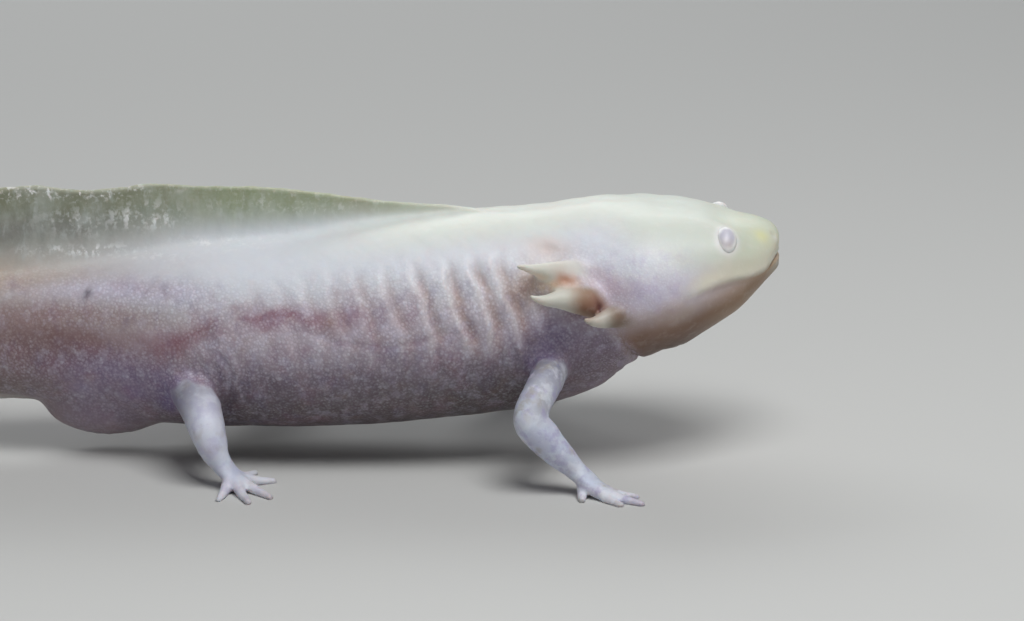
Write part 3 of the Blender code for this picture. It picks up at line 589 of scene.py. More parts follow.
def relief(p, n, m):
    x, y, z = p.T
    v, a, on_body = m["v"], np.abs(y), m["body"]
    d = np.zeros(len(p))
    # costal grooves: a hollow, and a narrow raised edge just behind it
    for centre, depth, low in FOLDS:
        s = fold_place(x, z, centre, low)
        tall = step(v, -0.90, -0.35) * step(-v, -0.80, -0.50)
        fade = 0.32 + 0.68 * step(v, -0.35, 0.12)
        tall = tall * (0.78 + 0.30 * np.sin(z * 0.75 + centre * 2.3))
        d += tall * fade * on_body * depth * (-0.80 * bump(s - 0.85, 1.10) + 0.42 * bump(s + 0.60, 0.72) + 0.14 * bump(s + 2.4, 1.5))
    # fine upright wrinkles low on the flank
    low = step(-v, -0.10, 0.30) * step(v, -0.97, -0.7) * step(x, 16.0, 28.0) * step(-x, -84.0, -78.0)
    d += on_body * low * (0.07 * np.sin(x * 2.7 + 0.9 * np.sin(z * 0.5)) + 0.07 * np.sin(x * 1.55 + 1.3 * np.sin(z * 0.31 + 1.0)))
    # skin gathered in front of the hip and behind the shoulder
    hip = bump(np.sqrt(((x - 21.5) / 5.5) ** 2 + ((z - 18.5) / 6.0) ** 2), 1.0) * step(a, 8, 11)
    d += on_body * hip * 0.20 * np.sin((x - 21.5 + 0.55 * (z - 18.0)) * 2.5)
    r = np.linalg.norm(np.stack([x - 16.0, (z - 16.5) * 1.1], 1), axis=1)
    arc = bump(r - 8.5, 4.0) * step(x - 0.4 * (z - 16.0), 17.0, 20.0) * step(a, 8, 11)
    d += on_body * arc * 0.16 * np.sin(r * 2.6 + 0.8 * np.sin(z * 0.5))
    # one long shallow crease across the lower flank
    crease = [(36.0, 28.6), (41.0, 27.0), (46.4, 25.3), (54.4, 24.9), (60.0, 26.2), (64.0, 28.0)]
    line = np.interp(x, [c[0] for c in crease], [c[1] for c in crease])
    d -= on_body * 0.20 * bump(z - line, 0.55) * step(x, 34.0, 40.0) * step(-x, -66.0, -60.0) * step(a, 8, 12)
    arm = bump(np.sqrt(((x - 77.0) / 3.6) ** 2 + ((z - 22.0) / 6.0) ** 2), 1.0) * step(a, 9, 12)
    d += on_body * arm * 0.20 * np.sin((x - 77.0 + 0.35 * (z - 22.0)) * 2.6)
    # the back: a shallow groove along the middle in front of the fin, and the strips of muscle beside it
    mid = step(x, 62.0, 72.0) * step(-x, -101.0, -92.0) * step(v, 0.5, 0.85)
    d += mid * (-0.10 * bump(y, 1.8) + 0.05 * bump(a - 4.5, 2.6))
    # flat crown with swellings of jaw muscle behind the eyes
    d += 0.60 * bump(np.sqrt(((x - 101.5) / 7.0) ** 2 + ((a - 11.0) / 4.6) ** 2 + ((z - 42.0) / 5.0) ** 2), 1.0)
    d -= 0.40 * bump(np.sqrt(((x - 108.0) / 6.5) ** 2 + (y / 4.2) ** 2), 1.0) * step(v, 0.4, 0.8)
    d -= 0.30 * bump(np.sqrt(((x - 119.0) / 2.6) ** 2 + ((a - 8.2) / 2.4) ** 2 + ((z - 41.5) / 2.5) ** 2), 1.0)
    d -= 0.30 * step(x, 92.0, 102.0) * step(-x, -121.0, -115.0) * step(-a, -9.0, -4.5) * step(v, 0.3, 0.7)
    # cheek, and the hollow between it and the eye
    d += 0.45 * bump(np.sqrt(((x - 102.5) / 6.0) ** 2 + ((z - 33.5) / 5.5) ** 2), 1.0) * step(a, 9.0, 14.0)
    d -= 0.22 * bump(np.sqrt(((x - 109.5) / 3.4) ** 2 + ((z - 38.2) / 2.0) ** 2), 1.0) * step(a, 8.0, 11.0)
    # soft skin round the eyes, no lids
    for s in (-1, 1):
        f, u, o = eye_frame(p, s)
        ring = np.sqrt(f * f + u * u)
        near = step(o, -1.6, -0.5) * step(s * y, 2.0, 4.0)
        d += near * (0.78 * bump(ring, 1.5) + 0.03 * bump(ring - 1.0, 0.26))
        r = np.linalg.norm(p - np.array((NOSTRIL[0], s * NOSTRIL[1], NOSTRIL[2])), axis=1)
        d += 0.05 * bump(r - 1.15, 0.55) - 0.26 * bump(r, 0.46)
    # mouth: the groove, the upper lip hanging over it and the lower lip drawn in
    gap = z - np.interp(x, MOUTH_C[:, 0], MOUTH_C[:, 1])
    front = step(x, 105.6, 110.0)
    tip = 1 - 0.85 * step(x, 121.5, 124.3)
    d += front * (-(0.05 + 0.16 * step(x, 112.0, 119.0) + 0.50 * step(x, 122.0, 124.2)) * bump(gap + 0.05, 0.42) + 0.20 * tip * bump(gap - 1.0, 0.95))
    d -= front * (0.12 + 0.16 * step(x, 110.0, 118.0)) * tip * step(-gap, -0.10, 0.9) * bump(gap + 0.9, 2.1)
    end = step(x, 121.0, 124.0)
    d += end * (-0.36 * bump(gap - 1.1, 1.1) - 0.12 * bump(gap + 1.2, 0.9))
    d += 0.30 * bump(np.sqrt(((x - 104.4) / 1.7) ** 2 + ((z - 32.2) / 2.0) ** 2), 1.0) * step(a, 10.0, 14.0)
    d -= 0.25 * spot(x, z, 103.2, 30.0, 1.0, 3.6, -24) * step(a, 10.0, 14.0)
    # fold behind the head, from the gills round under the throat
    back = x - (98.9 - 0.68 * (z - 20.8)) - 0.25 * np.sin(y * 0.7) - 0.2 * np.sin(y * 1.7 + 1.0)
    under = step(-z, -29.5, -22.5) * (1 - m["gill"])
    d += under * (-0.80 * bump(back + 0.7, 0.8) + 0.32 * bump(back - 1.5, 1.8) - 0.15 * bump(back + 3.4, 0.9))
    under = step(-v, 0.15, 0.6)
    for off, depth in ((-4.5, 0.22), (-7.4, 0.16), (4.6, 0.12), (8.2, 0.10)):
        d -= under * depth * bump(back - off - 0.4 * np.sin(y * 0.6 + off), 0.7)
    # clefts between the gill stalks
    for line, depth, width in CLEFTS:
        r = near_line(p, line)
        d += depth * (-bump(r, width) + 0.22 * bump(r - 1.9, 0.9)) * (1 - m["gill"] * 0.8)
    d -= 0.42 * spot(x, z, 82.3, 41.2, 2.6, 1.1, -6) * step(a, 9.0, 11.0) * (1 - m["gill"])
    d -= 0.30 * spot(x, z, 76.6, 34.0, 1.0, 3.4, -20) * step(a, 10.0, 13.0) * on_body
    # vent: slit and puckered lips
    r = np.sqrt((x / 6.4) ** 2 + (y / 3.2) ** 2)
    belly = step(-z, -8.5, -6.0) * (1 - m["leg"])
    d += belly * (-0.80 * bump(y, 0.5) * step(-np.abs(x), -5.4, -3.6) + 0.12 * np.sin(x * 3.0) * bump(a - 1.6, 1.4) * step(-r, -1.2, -0.6))
    # limbs: gentle unevenness, and two creases at each elbow of the arms
    d += m["leg"] * (1 - m["digit"]) * (0.10 * wobble(p, 2.6, 0.4) + 0.05 * wobble(p, 1.1, 3.0))
    for side, px, pz in ((-1, 79.3, 12.6), (1, 71.7, 12.2)):
        q = (p - np.array((px + 2.6, side * 26.0, pz))) @ np.array((0.55, 0.0, 0.83))
        d -= m["leg"] * (side * y > 0) * 0.16 * (bump(q, 0.45) + 0.7 * bump(q - 1.5, 0.4)) * step(x - px, -0.5, 2.0) * (np.abs(x - px) < 8)
    # rays and ripples of the fin
    d += m["fin"] * (0.05 * np.sin(x * 0.95 + 0.25 * z) + 0.035 * np.sin(x * 2.1 - 0.4 * z + 1.0) + 0.04 * wobble(p, 2.2, 0.9))
    # fine unevenness of soft skin
    d += on_body * (0.07 * wobble(p, 3.1, 0.7) + 0.035 * wobble(p, 1.3, 2.2)) * (1 - 0.6 * step(x, 104.0, 110.0))
    return d


M = part_masks(P)
M["down"] = step(-N[:, 2], 0.0, 0.6)
SHOWN = P + N * relief(P, N, M)[:, None]
SHOWN[:, 2] = np.maximum(SHOWN[:, 2], 0.0)


def sway(x):
    s = np.clip((TAIL_SWAY_START - x) / (TAIL_SWAY_START - TAIL_X), 0.0, None)
    return TAIL_SWAY * (1.9 * s * s - 0.9 * s ** 4)


WORLD = SHOWN.copy()
WORLD[:, 1] += sway(SHOWN[:, 0]) + CENTRE_Y
WORLD *= MM


# ------------------------------------------------------------------ colour zones
def rgb(r, g, b):
    """An sRGB colour (0 to 255) as linear numbers."""
    c = np.array([r, g, b]) / 255.0
    return np.where(c <= 0.04045, c / 12.92, ((c + 0.055) / 1.055) ** 2.4)


def lay(colour, over, amount):
    return colour + (over - colour) * np.clip(amount, 0, 1)[:, None]


BAND = [(-125, 17.0), (-60, 19.8), (-16, 25.6), (-6, 24.6), (13, 24.4), (20, 27.0), (33, 30.0), (43, 29.4), (54, 30.4), (64, 31.0)]
VESSELS = [([(40.0, 18, 29.2), (36.5, 18, 30.4), (33.0, 18, 30.8), (30.0, 18, 29.6), (26.5, 18, 29.4)], 0.40),
           ([(36.5, 18, 30.4), (34.0, 18, 29.2), (31.0, 18, 28.2)], 0.30),
           ([(50.5, 18, 28.4), (49.0, 18, 27.0), (48.6, 18, 25.6)], 0.22),
           ([(22.0, 15, 28.4), (18.0, 14, 26.2), (14.5, 13, 24.4), (11.0, 12, 23.0)], 0.30)]


def skin_colour(p, m):
    x, y, z = p.T
    v, a, body = m["v"], np.abs(p[:, 1]), m["body"]
    wide = step(a, 4.0, 9.0)
    w1, w2, w3 = wobble(p, 9.0, 0.3), wobble(p, 4.0, 1.7), wobble(p, 2.0, 4.1)
    rear = step(-x, -34.0, 6.0)
    c = np.tile(rgb(218, 214, 218), (len(p), 1))
    # flank: violet grey, darker and browner towards the belly: painted shade over the pale violet skin
    c = lay(c, rgb(194, 184, 197), step(-v, -0.45, 0.0) * (0.85 + 0.15 * w1))
    # painted shade: lower flank and belly made darker, as if in shade
    c = lay(c, rgb(131, 117, 131), step(-v, -0.16, 0.34) * (0.82 + 0.18 * w2))
    c = lay(c, rgb(76, 67, 62), step(-v, 0.14, 0.74) * 0.92)
    # painted shade: lower flank darker between the hip and the middle of the trunk
    c = lay(c, rgb(104, 88, 100), step(-v, -0.20, 0.30) * step(-x, -68.0, -44.0) * step(x, -10.0, 14.0) * 0.28)
    c = lay(c, rgb(140, 124, 120), step(-v, 0.88, 1.0) * 0.5)
    c = lay(c, rgb(164, 134, 134), rear * step(-v, -0.30, 0.10) * 0.60 * (1 - step(-v, 0.35, 0.8)))
    # back: cool white, with a breath of yellow green in front
    c = lay(c, rgb(221, 224, 230), step(v, 0.20, 0.62) * (0.96 - 0.10 * w1))
    c = lay(c, rgb(220, 224, 208), step(v, 0.72, 0.98) * step(x, 30.0, 62.0) * 0.7)
    # head: cream crown and snout, violet white cheek, jaw and throat warm and darkening downwards with painted shade
    low = step(-z, -34.0, -28.0)
    head = step(x + 0.68 * (z - 20.8) * low, 95.8 - 6.0 * (1 - low), 99.2)
    c = lay(c, rgb(214, 219, 209), head * step(v, 0.15, 0.50))
    c = lay(c, rgb(212, 206, 219), head * step(-v, -0.42, -0.10))
    # painted shade: jaw and throat browner and darker downwards over a warm tint
    c = lay(c, rgb(190, 173, 170), head * step(-v, -0.05, 0.26))
    c = lay(c, rgb(132, 101, 82), head * step(-v, 0.16, 0.50))
    c = lay(c, rgb(90, 68, 56), head * step(-v, 0.40, 0.85) * 0.85)
    c = lay(c, rgb(176, 148, 136), head * step(-v, 0.10, 0.50) * step(-a, -10.5, -4.5) * step(-x, -122.5, -118.0) * 0.62)
    c = lay(c, rgb(238, 240, 248), spot(x, z, 96.0, 40.2, 9.0, 3.2, -8) * 0.90 * step(x, 82.0, 92.0) * wide)
    c = lay(c, rgb(205, 210, 188), step(x, 108.5, 121.0) * step(v, -0.20, 0.25) * 0.85)
    c = lay(c, rgb(214, 184, 202), spot(x, z, 92.0, 36.4, 5.0, 2.2, -25) * (0.55 + 0.2 * w2) * wide)
    # reddish band along the flank, deepest before the hip
    mid = np.interp(x, [b[0] for b in BAND], [b[1] for b in BAND]) + 0.9 * w1
    c = lay(c, lay(np.tile(rgb(152, 100, 128), (len(p), 1)), rgb(140, 88, 84), rear), bump(z - mid, 3.0) * body * step(-x, -66.0, -48.0) * wide
            * (0.48 + 0.26 * w2) * step(x, -60.0, -20.0))
    for cx, cz, rx, rz, depth in ((-3.0, 22.8, 7.0, 2.0, 0.35), (13.5, 23.0, 3.8, 2.0, 0.55), (20.5, 26.6, 4.0, 1.3, 0.45), (33.0, 30.2, 5.0, 1.5, 0.42),
                                  (44.5, 30.0, 5.0, 1.6, 0.22)):
        c = lay(c, rgb(146, 90, 92), spot(x, z - 0.5 * w2, cx, cz, rx, rz, 6) * depth * wide * body)
    for cx, cz, rx, rz, turn, depth in ((34.4, 30.0, 2.6, 1.1, 12, 0.55), (29.0, 29.2, 2.4, 1.3, -20, 0.40), (39.5, 29.0, 1.8, 1.4, 30, 0.40), (26.0, 31.2, 2.2, 0.9, 15, 0.30),
                                        (47.0, 31.6, 1.3, 2.2, -10, 0.34), (52.5, 31.0, 1.2, 2.4, -14, 0.34), (58.0, 31.8, 1.2, 2.6, -16, 0.30), (44.0, 34.2, 2.4, 1.3, 0, 0.24),
                                        (20.0, 27.2, 2.6, 1.0, 30, 0.35), (15.0, 24.4, 2.8, 1.3, 25, 0.40)):
        c = lay(c, rgb(132, 82, 108) if cx > 24 else rgb(132, 78, 78), spot(x + 0.7 * w3, z + 0.5 * w2, cx, cz, rx, rz, turn) * depth * wide * body)
    c = lay(c, rgb(176, 146, 112), spot(x, z + 0.4 * w3, 43.0, 29.0, 1.3, 2.0) * 0.40 * wide * body)
    # a few fine vessels under the skin
    for line, depth in VESSELS:
        q = p * np.array((1, 1, 1)) + np.stack([0.3 * w3, 0 * w3, 0.45 * w3 + 0.2 * w2], 1)
        r = np.hypot(*(near_flat(q, line)))
        c = lay(c, rgb(140, 78, 100), bump(r, 0.50) * depth * body * wide)
    # tail: dimmer and greyer along its length with painted shade, red brown low on it partly as painted shade; orange
    # tint on the root of the tail
    # painted shade: the tail dimmer and greyer towards its end and behind the hip
    c = lay(c, rgb(190, 178, 180), step(-x, 24.0, 80.0) * 0.65)
    c = lay(c, rgb(150, 132, 128), step(-x, -26.0, 10.0) * (1 - m["fin"]) * 0.50 * (1 - 0.6 * step(-x, 20.0, 80.0)))
    # red brown low on the tail, partly its own tint and partly painted shade
    c = lay(c, rgb(114, 76, 68), step(-x, -14.0, 8.0) * bump(v - 0.10, 0.42) * (1 - m["fin"]) * 0.62 * step(x, -85.0, -15.0))
    c = lay(c, rgb(186, 152, 104), spot(x, z, -26.0, 35.6, 18.0, 4.0) * 0.80 * (1 - 0.5 * m["fin"]))
    c = lay(c, rgb(156, 128, 122), bump(z - 28.4, 2.3) * step(-x, -22.0, -6.0) * step(x, -60.0, -20.0) * 0.62 * wide * (1 - m["fin"]))
    c = lay(c, rgb(212, 206, 222), bump(z - 32.9, 1.9) * step(x, -24.0, -8.0) * step(-x, -26.0, -14.0) * 0.85 * wide)
    # folds: painted shade in their hollows over a brownish tint, a painted highlight on their pale raised edges; low
    # down only a soft grey brown stripe of painted shade is left of each
    for centre, depth, low in FOLDS:
        s = fold_place(x, z, centre, low)
        tall = step(v, -0.30, 0.05) * step(-v, -0.76, -0.46) * step(a, 6, 11) * body
        c = lay(c, rgb(190, 154, 138), bump(s - 0.95, 1.0) * tall * min(1.0, depth * 1.1) * (0.66 + 0.16 * w3))
        c = lay(c, rgb(242, 238, 236), bump(s + 0.55, 0.60) * tall * depth * 0.50)
        base = step(v, -0.98, -0.60) * step(-v, 0.0, 0.3) * step(a, 5, 9) * body
        c = lay(c, rgb(122, 110, 110), bump(s - 0.9, 1.2) * base * (0.16 + 0.22 * depth) * (0.8 + 0.2 * w2))
    # painted shade along the long crease across the lower flank
    line = np.interp(x, [36.0, 41.0, 46.4, 54.4, 60.0, 64.0], [28.6, 27.0, 25.3, 24.9, 26.2, 28.0])
    c = lay(c, rgb(150, 128, 140), bump(z - line, 0.5) * step(x, 34.0, 40.0) * step(-x, -66.0, -60.0) * step(a, 8, 12) * 0.4 * body)
    # brown and violet round the gills and down to the shoulder, with painted shade in the hollow before the gills and
    # under the middle gill, and painted light on the peach web where the upper gill's shadow falls
    side = step(a, 8.0, 11.0) * (1 - m["gill"])
    gill_top = m["gill"] * step(z, 37.6, 38.6)
    # painted shade: brownish hollow in front of the gills
    c = lay(c, rgb(204, 172, 156), spot(x, z, 77.8, 34.8, 2.4, 3.2, -15) * 0.80 * side)
    # peach web between the upper and middle gills, lightened as painted light against the upper gill's shadow
    c = lay(c, rgb(232, 208, 176), spot(x, z, 83.0, 36.4, 4.8, 2.4, 4) * 0.95 * step(a, 8.0, 11.0) * (1 - gill_top))
    c = lay(c, rgb(212, 180, 162), spot(x, z, 82.0, 41.5, 4.2, 1.9, -6) * 0.50 * side)
    # painted shadow under the middle gill
    c = lay(c, rgb(124, 80, 72), spot(x, z, 88.6, 30.4, 3.2, 1.7) * 0.80 * side)
    c = lay(c, rgb(128, 106, 134), spot(x, z, 84.0, 26.0, 7.0, 4.4) * 0.50 * side)
    c = lay(c, rgb(104, 88, 144), spot(x, z, 82.2, 23.8, 2.0, 4.6, -8) * 0.48 * side * (1 - 0.7 * m["leg"]))
    # violet at the roots of the legs, purplish vent
    c = lay(c, rgb(136, 122, 158), m["root"] * (0.62 + 0.14 * w2) * (1 - step(v, 0.1, 0.5)) * (1 - m["leg"]))
    c = lay(c, rgb(146, 130, 150), spot(x, z, 0.0, 9.5, 11.5, 6.0) * 0.80)
    c = lay(c, rgb(142, 130, 180), spot(x, z, 2.0, 18.2, 11.0, 3.6) * 0.46 * wide)
    c = lay(c, rgb(150, 130, 178), spot(x, z, 6.5, 14.0, 2.6, 2.2) * 0.45 * wide)
    c = lay(c, rgb(168, 156, 192), spot(x, z, -3.0, 14.5, 3.4, 2.2) * 0.45 * wide)
    # neck under the head: dusky violet behind the fold
    c = lay(c, rgb(136, 118, 128), step(-v, -0.05, 0.5) * step(x, 80.0, 86.0) * (1 - head) * 0.60)
    # legs: bluish white, clear cut from the violet shoulder
    leg = m["leg"]
    c = lay(c, rgb(200, 206, 220), leg)
    c = lay(c, rgb(184, 182, 208), leg * step(w2, 0.05, 0.8) * 0.45)
    c = lay(c, rgb(198, 206, 232), leg * step(w3, 0.2, 0.9) * 0.40)
    # painted shade: legs darker near the body
    c = lay(c, rgb(126, 123, 138), leg * step(-m["body_d"], -12.0, -2.6) * 0.84)
    # painted shade on the upper right arm
    c = lay(c, rgb(156, 153, 154), leg * spot(x, z, 80.8, 17.2, 2.4, 2.8) * 0.60 * (y < 0))
    # painted highlight: the lit front of the right thigh whiter
    c = lay(c, rgb(232, 233, 244), leg * spot(x, z, 20.2, 10.4, 4.2, 6.6, -22) * (0.62 + 0.16 * w3) * (y < 0))
    c = lay(c, rgb(104, 90, 152), spot(x, z, 13.2, 12.6, 2.4, 3.2, -10) * 0.60 * step(a, 8.0, 11.0) * (1 - 0.5 * leg))
    c = lay(c, rgb(226, 222, 226), m["digit"] * 0.6)
    # gill stalks: cream, browner where they leave the neck, partly their own tint and partly painted shade
    gill = m["gill"]
    c = lay(c, rgb(210, 209, 198), gill)
    c = lay(c, rgb(216, 214, 210), m["gill_upper"] * step(x, 83.0, 87.0) * 0.75)
    c = lay(c, rgb(158, 132, 108), m["gill_middle"] * step(x, 84.8, 88.8) * 0.88)
    c = lay(c, rgb(146, 128, 112), m["gill_lower"] * step(x, 91.6, 94.4) * 0.80)
    near_gill = step(a, 13.5, 15.5)
    # painted light on the downward faces under the upper gill, against its shade
    c = lay(c, rgb(246, 228, 204), near_gill * m["down"] * spot(x, z, 81.5, 37.2, 5.0, 2.2) * 0.85)
    # painted shade round the root of the middle gill and at the root of the lower gill
    c = lay(c, rgb(140, 102, 80), spot(x, z, 89.0, 32.6, 2.6, 2.0, -22) * 0.92 * near_gill)
    c = lay(c, rgb(116, 88, 70), spot(x, z, 95.2, 30.6, 2.3, 3.0) * 0.74 * near_gill)
    # gill clefts: pinkish round each; the lower slit dark red, its own red deepened by painted shade
    for line, depth, width in CLEFTS:
        r = near_line(p, line)
        c = lay(c, rgb(190, 140, 112) if depth < 1 else rgb(150, 92, 84), bump(r, 1.7) * (1 - gill * 0.4) * 0.75)
        c = lay(c, rgb(74, 24, 32) if depth > 1 else rgb(174, 118, 86), bump(r, width * 1.25) * (0.95 if depth > 1 else 0.7))
    # fin: milky at its foot, dimmed towards the tail with painted shade against the light on its foot, grey green
    # above, a fine pale edge
    s = np.clip(m["fin_s"], 0, 1)
    fin = np.tile(rgb(218, 224, 224), (len(p), 1))
    # painted shade: the fin's foot dimmed towards the tail, where the light on the back is strong
    fin = lay(fin, rgb(184, 180, 168), step(-x, -34.0, 4.0) * 0.85)
    fin = lay(fin, rgb(148, 153, 144), step(s, 0.04, 0.66) * (0.92 + 0.08 * w2))
    fin = lay(fin, rgb(110, 107, 98), step(-x, -16.0, 10.0) * step(s, 0.1, 0.5) * 0.60)
    fin = lay(fin, rgb(132, 137, 104), step(s, 0.45, 0.85) * 0.75)
    fin = lay(fin, rgb(158, 171, 128), step(x, -2.0, 30.0) * step(s, 0.1, 0.6) * 0.60)
    fin = lay(fin, rgb(206, 210, 188), step(s, 0.94, 1.0) * 0.40)
    fin = lay(fin, rgb(168, 150, 148), m["fin_low"] * 0.7)
    c = lay(c, fin, m["fin"] * 0.95)
    # one small grey spot near the root of the tail, on the right side
    c = lay(c, rgb(96, 92, 100), np.clip(1.3 * spot(x, z, -1.7, 31.9, 0.62, 0.95, -25), 0, 1) * 0.80 * (y < 0))
    # nostrils, the yellowish patch beside them, painted light round the eyes, lips with painted shade under the upper
    # lip
    for sd in (-1, 1):
        r = np.linalg.norm(p - np.array((NOSTRIL[0], sd * NOSTRIL[1], NOSTRIL[2])), axis=1)
        c = lay(c, rgb(196, 190, 168), bump(r, 0.6) * 0.45)
        c = lay(c, rgb(222, 232, 238), bump(np.linalg.norm(p - np.array((123.3, sd * 4.6, 41.2)), axis=1), 0.75) * 0.60)
        r = np.linalg.norm(p - np.array((121.2, sd * 6.8, 42.8)), axis=1)
        c = lay(c, rgb(228, 224, 156), bump(r, 1.5) * 0.62)
        f, u, o = eye_frame(p, sd)
        ring = np.sqrt(f * f + u * u)
        # painted light on the skin round each eye, against the shade where it meets the eye
        c = lay(c, rgb(232, 230, 228), bump(ring - 0.86, 0.36) * 0.85 * (sd * y > 0) * step(o, -1.0, -0.3))
    gap = z - np.interp(x, MOUTH_C[:, 0], MOUTH_C[:, 1])
    front = step(x, 106.0, 112.0)
    c = lay(c, rgb(222, 217, 194), bump(gap - 1.6, 2.6) * step(x, 104.0, 110.5) * 0.80 * step(gap, -0.3, 0.4))
    # jaw below the mouth tan and darker, partly its own colour and partly painted shade
    c = lay(c, rgb(172, 142, 110), front * step(-gap, -0.3, 1.6) * 0.52 * step(x, 106.0, 118.0))
    c = lay(c, rgb(176, 158, 132), spot(x, z, 106.2, 31.6, 1.8, 2.2) * 0.35 * step(a, 9, 12))
    c = lay(c, rgb(206, 205, 190), step(x, 121.4, 124.0) * step(-gap, 0.0, 0.5) * bump(gap + 0.9, 1.5) * 0.65)
    # painted shade along the mouth groove
    c = lay(c, rgb(178, 146, 108), front * bump(gap + 0.25, 0.70) * (0.40 + 0.25 * step(x, 112.0, 121.0)))
    c = lay(c, rgb(200, 176, 162), spot(x, z, 103.6, 31.0, 2.0, 3.6, -24) * 0.4 * step(a, 10, 13))
    return np.clip(c, 0, 1)


COLOUR = skin_colour(P, M)
HEAD_FADE = step(P[:, 0], 103.0, 111.0)
THROAT = step(P[:, 0] + 0.68 * (P[:, 2] - 20.8), 98.0, 101.0) * step(-M["v"], -0.05, 0.35)
SOFT = (1 - M["leg"]) * (1 - M["gill"]) * (1 - M["fin"])
for _line, _depth, _width in CLEFTS:
    SOFT = SOFT * (1 - bump(near_line(P, _line), 1.6))
FORWARD = step(P[:, 0], 84.0, 96.0)
BLOOD = bump(P[:, 2] - np.interp(P[:, 0], [b[0] for b in BAND], [b[1] for b in BAND]), 2.6) * step(-P[:, 0], -22.0, -8.0)
GRAIN = np.clip(SOFT * (1 - 0.60 * BLOOD) * (1 - 0.30 * step(-M["v"], 0.10, 0.60)) * step(-M["v"], -0.86, -0.36) * (1 - 0.5 * step(-M["v"], 0.75, 1.0)) * (1 - 0.92 * THROAT) * (1 - FORWARD), 0, 1)
GRAIN = np.clip(GRAIN + 0.7 * SOFT * (1 - bump(np.hypot(P[:, 0] + 1.7, P[:, 2] - 31.9), 1.3)) * bump(P[:, 2] - 32.9, 2.4) * step(P[:, 0], -30.0, -14.0) * step(-P[:, 0], -28.0, -16.0), 0, 1)
FINE = np.clip(SOFT * step(-M["v"], -0.80, -0.34) * (1 - 0.92 * THROAT) * FORWARD * (1 - step(P[:, 0], 101.0, 112.0)), 0, 1)


# ------------------------------------------------------------------ Blender objects
def mesh_object(name, verts, faces):
    mesh = bpy.data.meshes.new(name)
    mesh.from_pydata([tuple(v) for v in verts], [], [tuple(int(i) for i in f) for f in faces])
    mesh.update()
    mesh.shade_smooth()
    obj = bpy.data.objects.new(name, mesh)
    bpy.context.collection.objects.link(obj)
    return obj


def attribute(mesh, name, kind, values):
    a = mesh.attributes.new(name, kind, "POINT")
    if kind == "FLOAT_COLOR":
        a.data.foreach_set("color", np.concatenate([values, np.ones((len(values), 1))], 1).astype(np.float32).ravel())
    else:
        a.data.foreach_set("value", np.asarray(values, np.float32))


class Nodes:
    """Short hand for building a material's node tree."""

    def __init__(self, name):
        self.mat = bpy.data.materials.new(name)
        self.mat.use_nodes = True
        self.tree = self.mat.node_tree
        self.bsdf = self.tree.nodes["Principled BSDF"]
        self.where = self.new("ShaderNodeTexCoord").outputs["Object"]

    def new(self, kind, **props):
        n = self.tree.nodes.new(kind)
        for k, v in props.items():
            setattr(n, k, v)
        return n

    def link(self, a, b):
        self.tree.links.new(a, b)

    def math(self, op, a, b=None, clamp=False):
        n = self.new("ShaderNodeMath", operation=op, use_clamp=clamp)
        for i, v in enumerate((a, b)):
            if v is None:
                continue
            if isinstance(v, (int, float)):
                n.inputs[i].default_value = v
            else:
                self.link(v, n.inputs[i])
        return n.outputs[0]

    def mix(self, fac, a, b):
        n = self.new("ShaderNodeMix", data_type="RGBA")
        n.clamp_factor = True
        for s, v in ((n.inputs[0], fac), (n.inputs[6], a), (n.inputs[7], b)):
            if isinstance(v, (int, float)):
                s.default_value = v
            elif isinstance(v, (tuple, list, np.ndarray)):
                s.default_value = (*[float(q) for q in v][:3], 1.0)
            else:
                self.link(v, s)
        return n.outputs[2]

    def ramp(self, value, low, high):
        n = self.new("ShaderNodeMapRange", interpolation_type="SMOOTHSTEP")
        self.link(value, n.inputs["Value"])
        n.inputs["From Min"].default_value = low
        n.inputs["From Max"].default_value = high
        return n.outputs["Result"]

    def attr(self, name, out="Fac"):
        return self.new("ShaderNodeAttribute", attribute_name=name).outputs[out]

    def noise(self, size, detail, rough=0.55, scale=(1, 1, 1)):
        n = self.new("ShaderNodeTexNoise")
        place = self.where
        if scale != (1, 1, 1):
            m = self.new("ShaderNodeMapping")
            m.inputs["Scale"].default_value = scale
            self.link(place, m.inputs["Vector"])
            place = m.outputs["Vector"]
        self.link(place, n.inputs["Vector"])
        n.inputs["Scale"].default_value = 1.0 / size
        n.inputs["Detail"].default_value = detail
        n.inputs["Roughness"].default_value = rough
        return n.outputs["Fac"]

    def cells(self, size, rand=1.0, feature="F1", out="Distance"):
        n = self.new("ShaderNodeTexVoronoi", feature=feature)
        self.link(self.where, n.inputs["Vector"])
        n.inputs["Scale"].default_value = 1.0 / size
        n.inputs["Randomness"].default_value = rand
        return n.outputs[out]

    def granules(self, size, rand):
        """Close set rounded grains: how deep inside one a point is, and the same with each grain as pale as chance has it."""
        deep = self.math("SUBTRACT", 1.0, self.ramp(self.cells(size, rand), 0.10, 0.66))
        chance = self.ramp(self.cells(size, rand, "F1", "Color"), 0.15, 0.85)
        return deep, self.math("MULTIPLY", deep, self.math("ADD", self.math("MULTIPLY", chance, 0.62), 0.38))


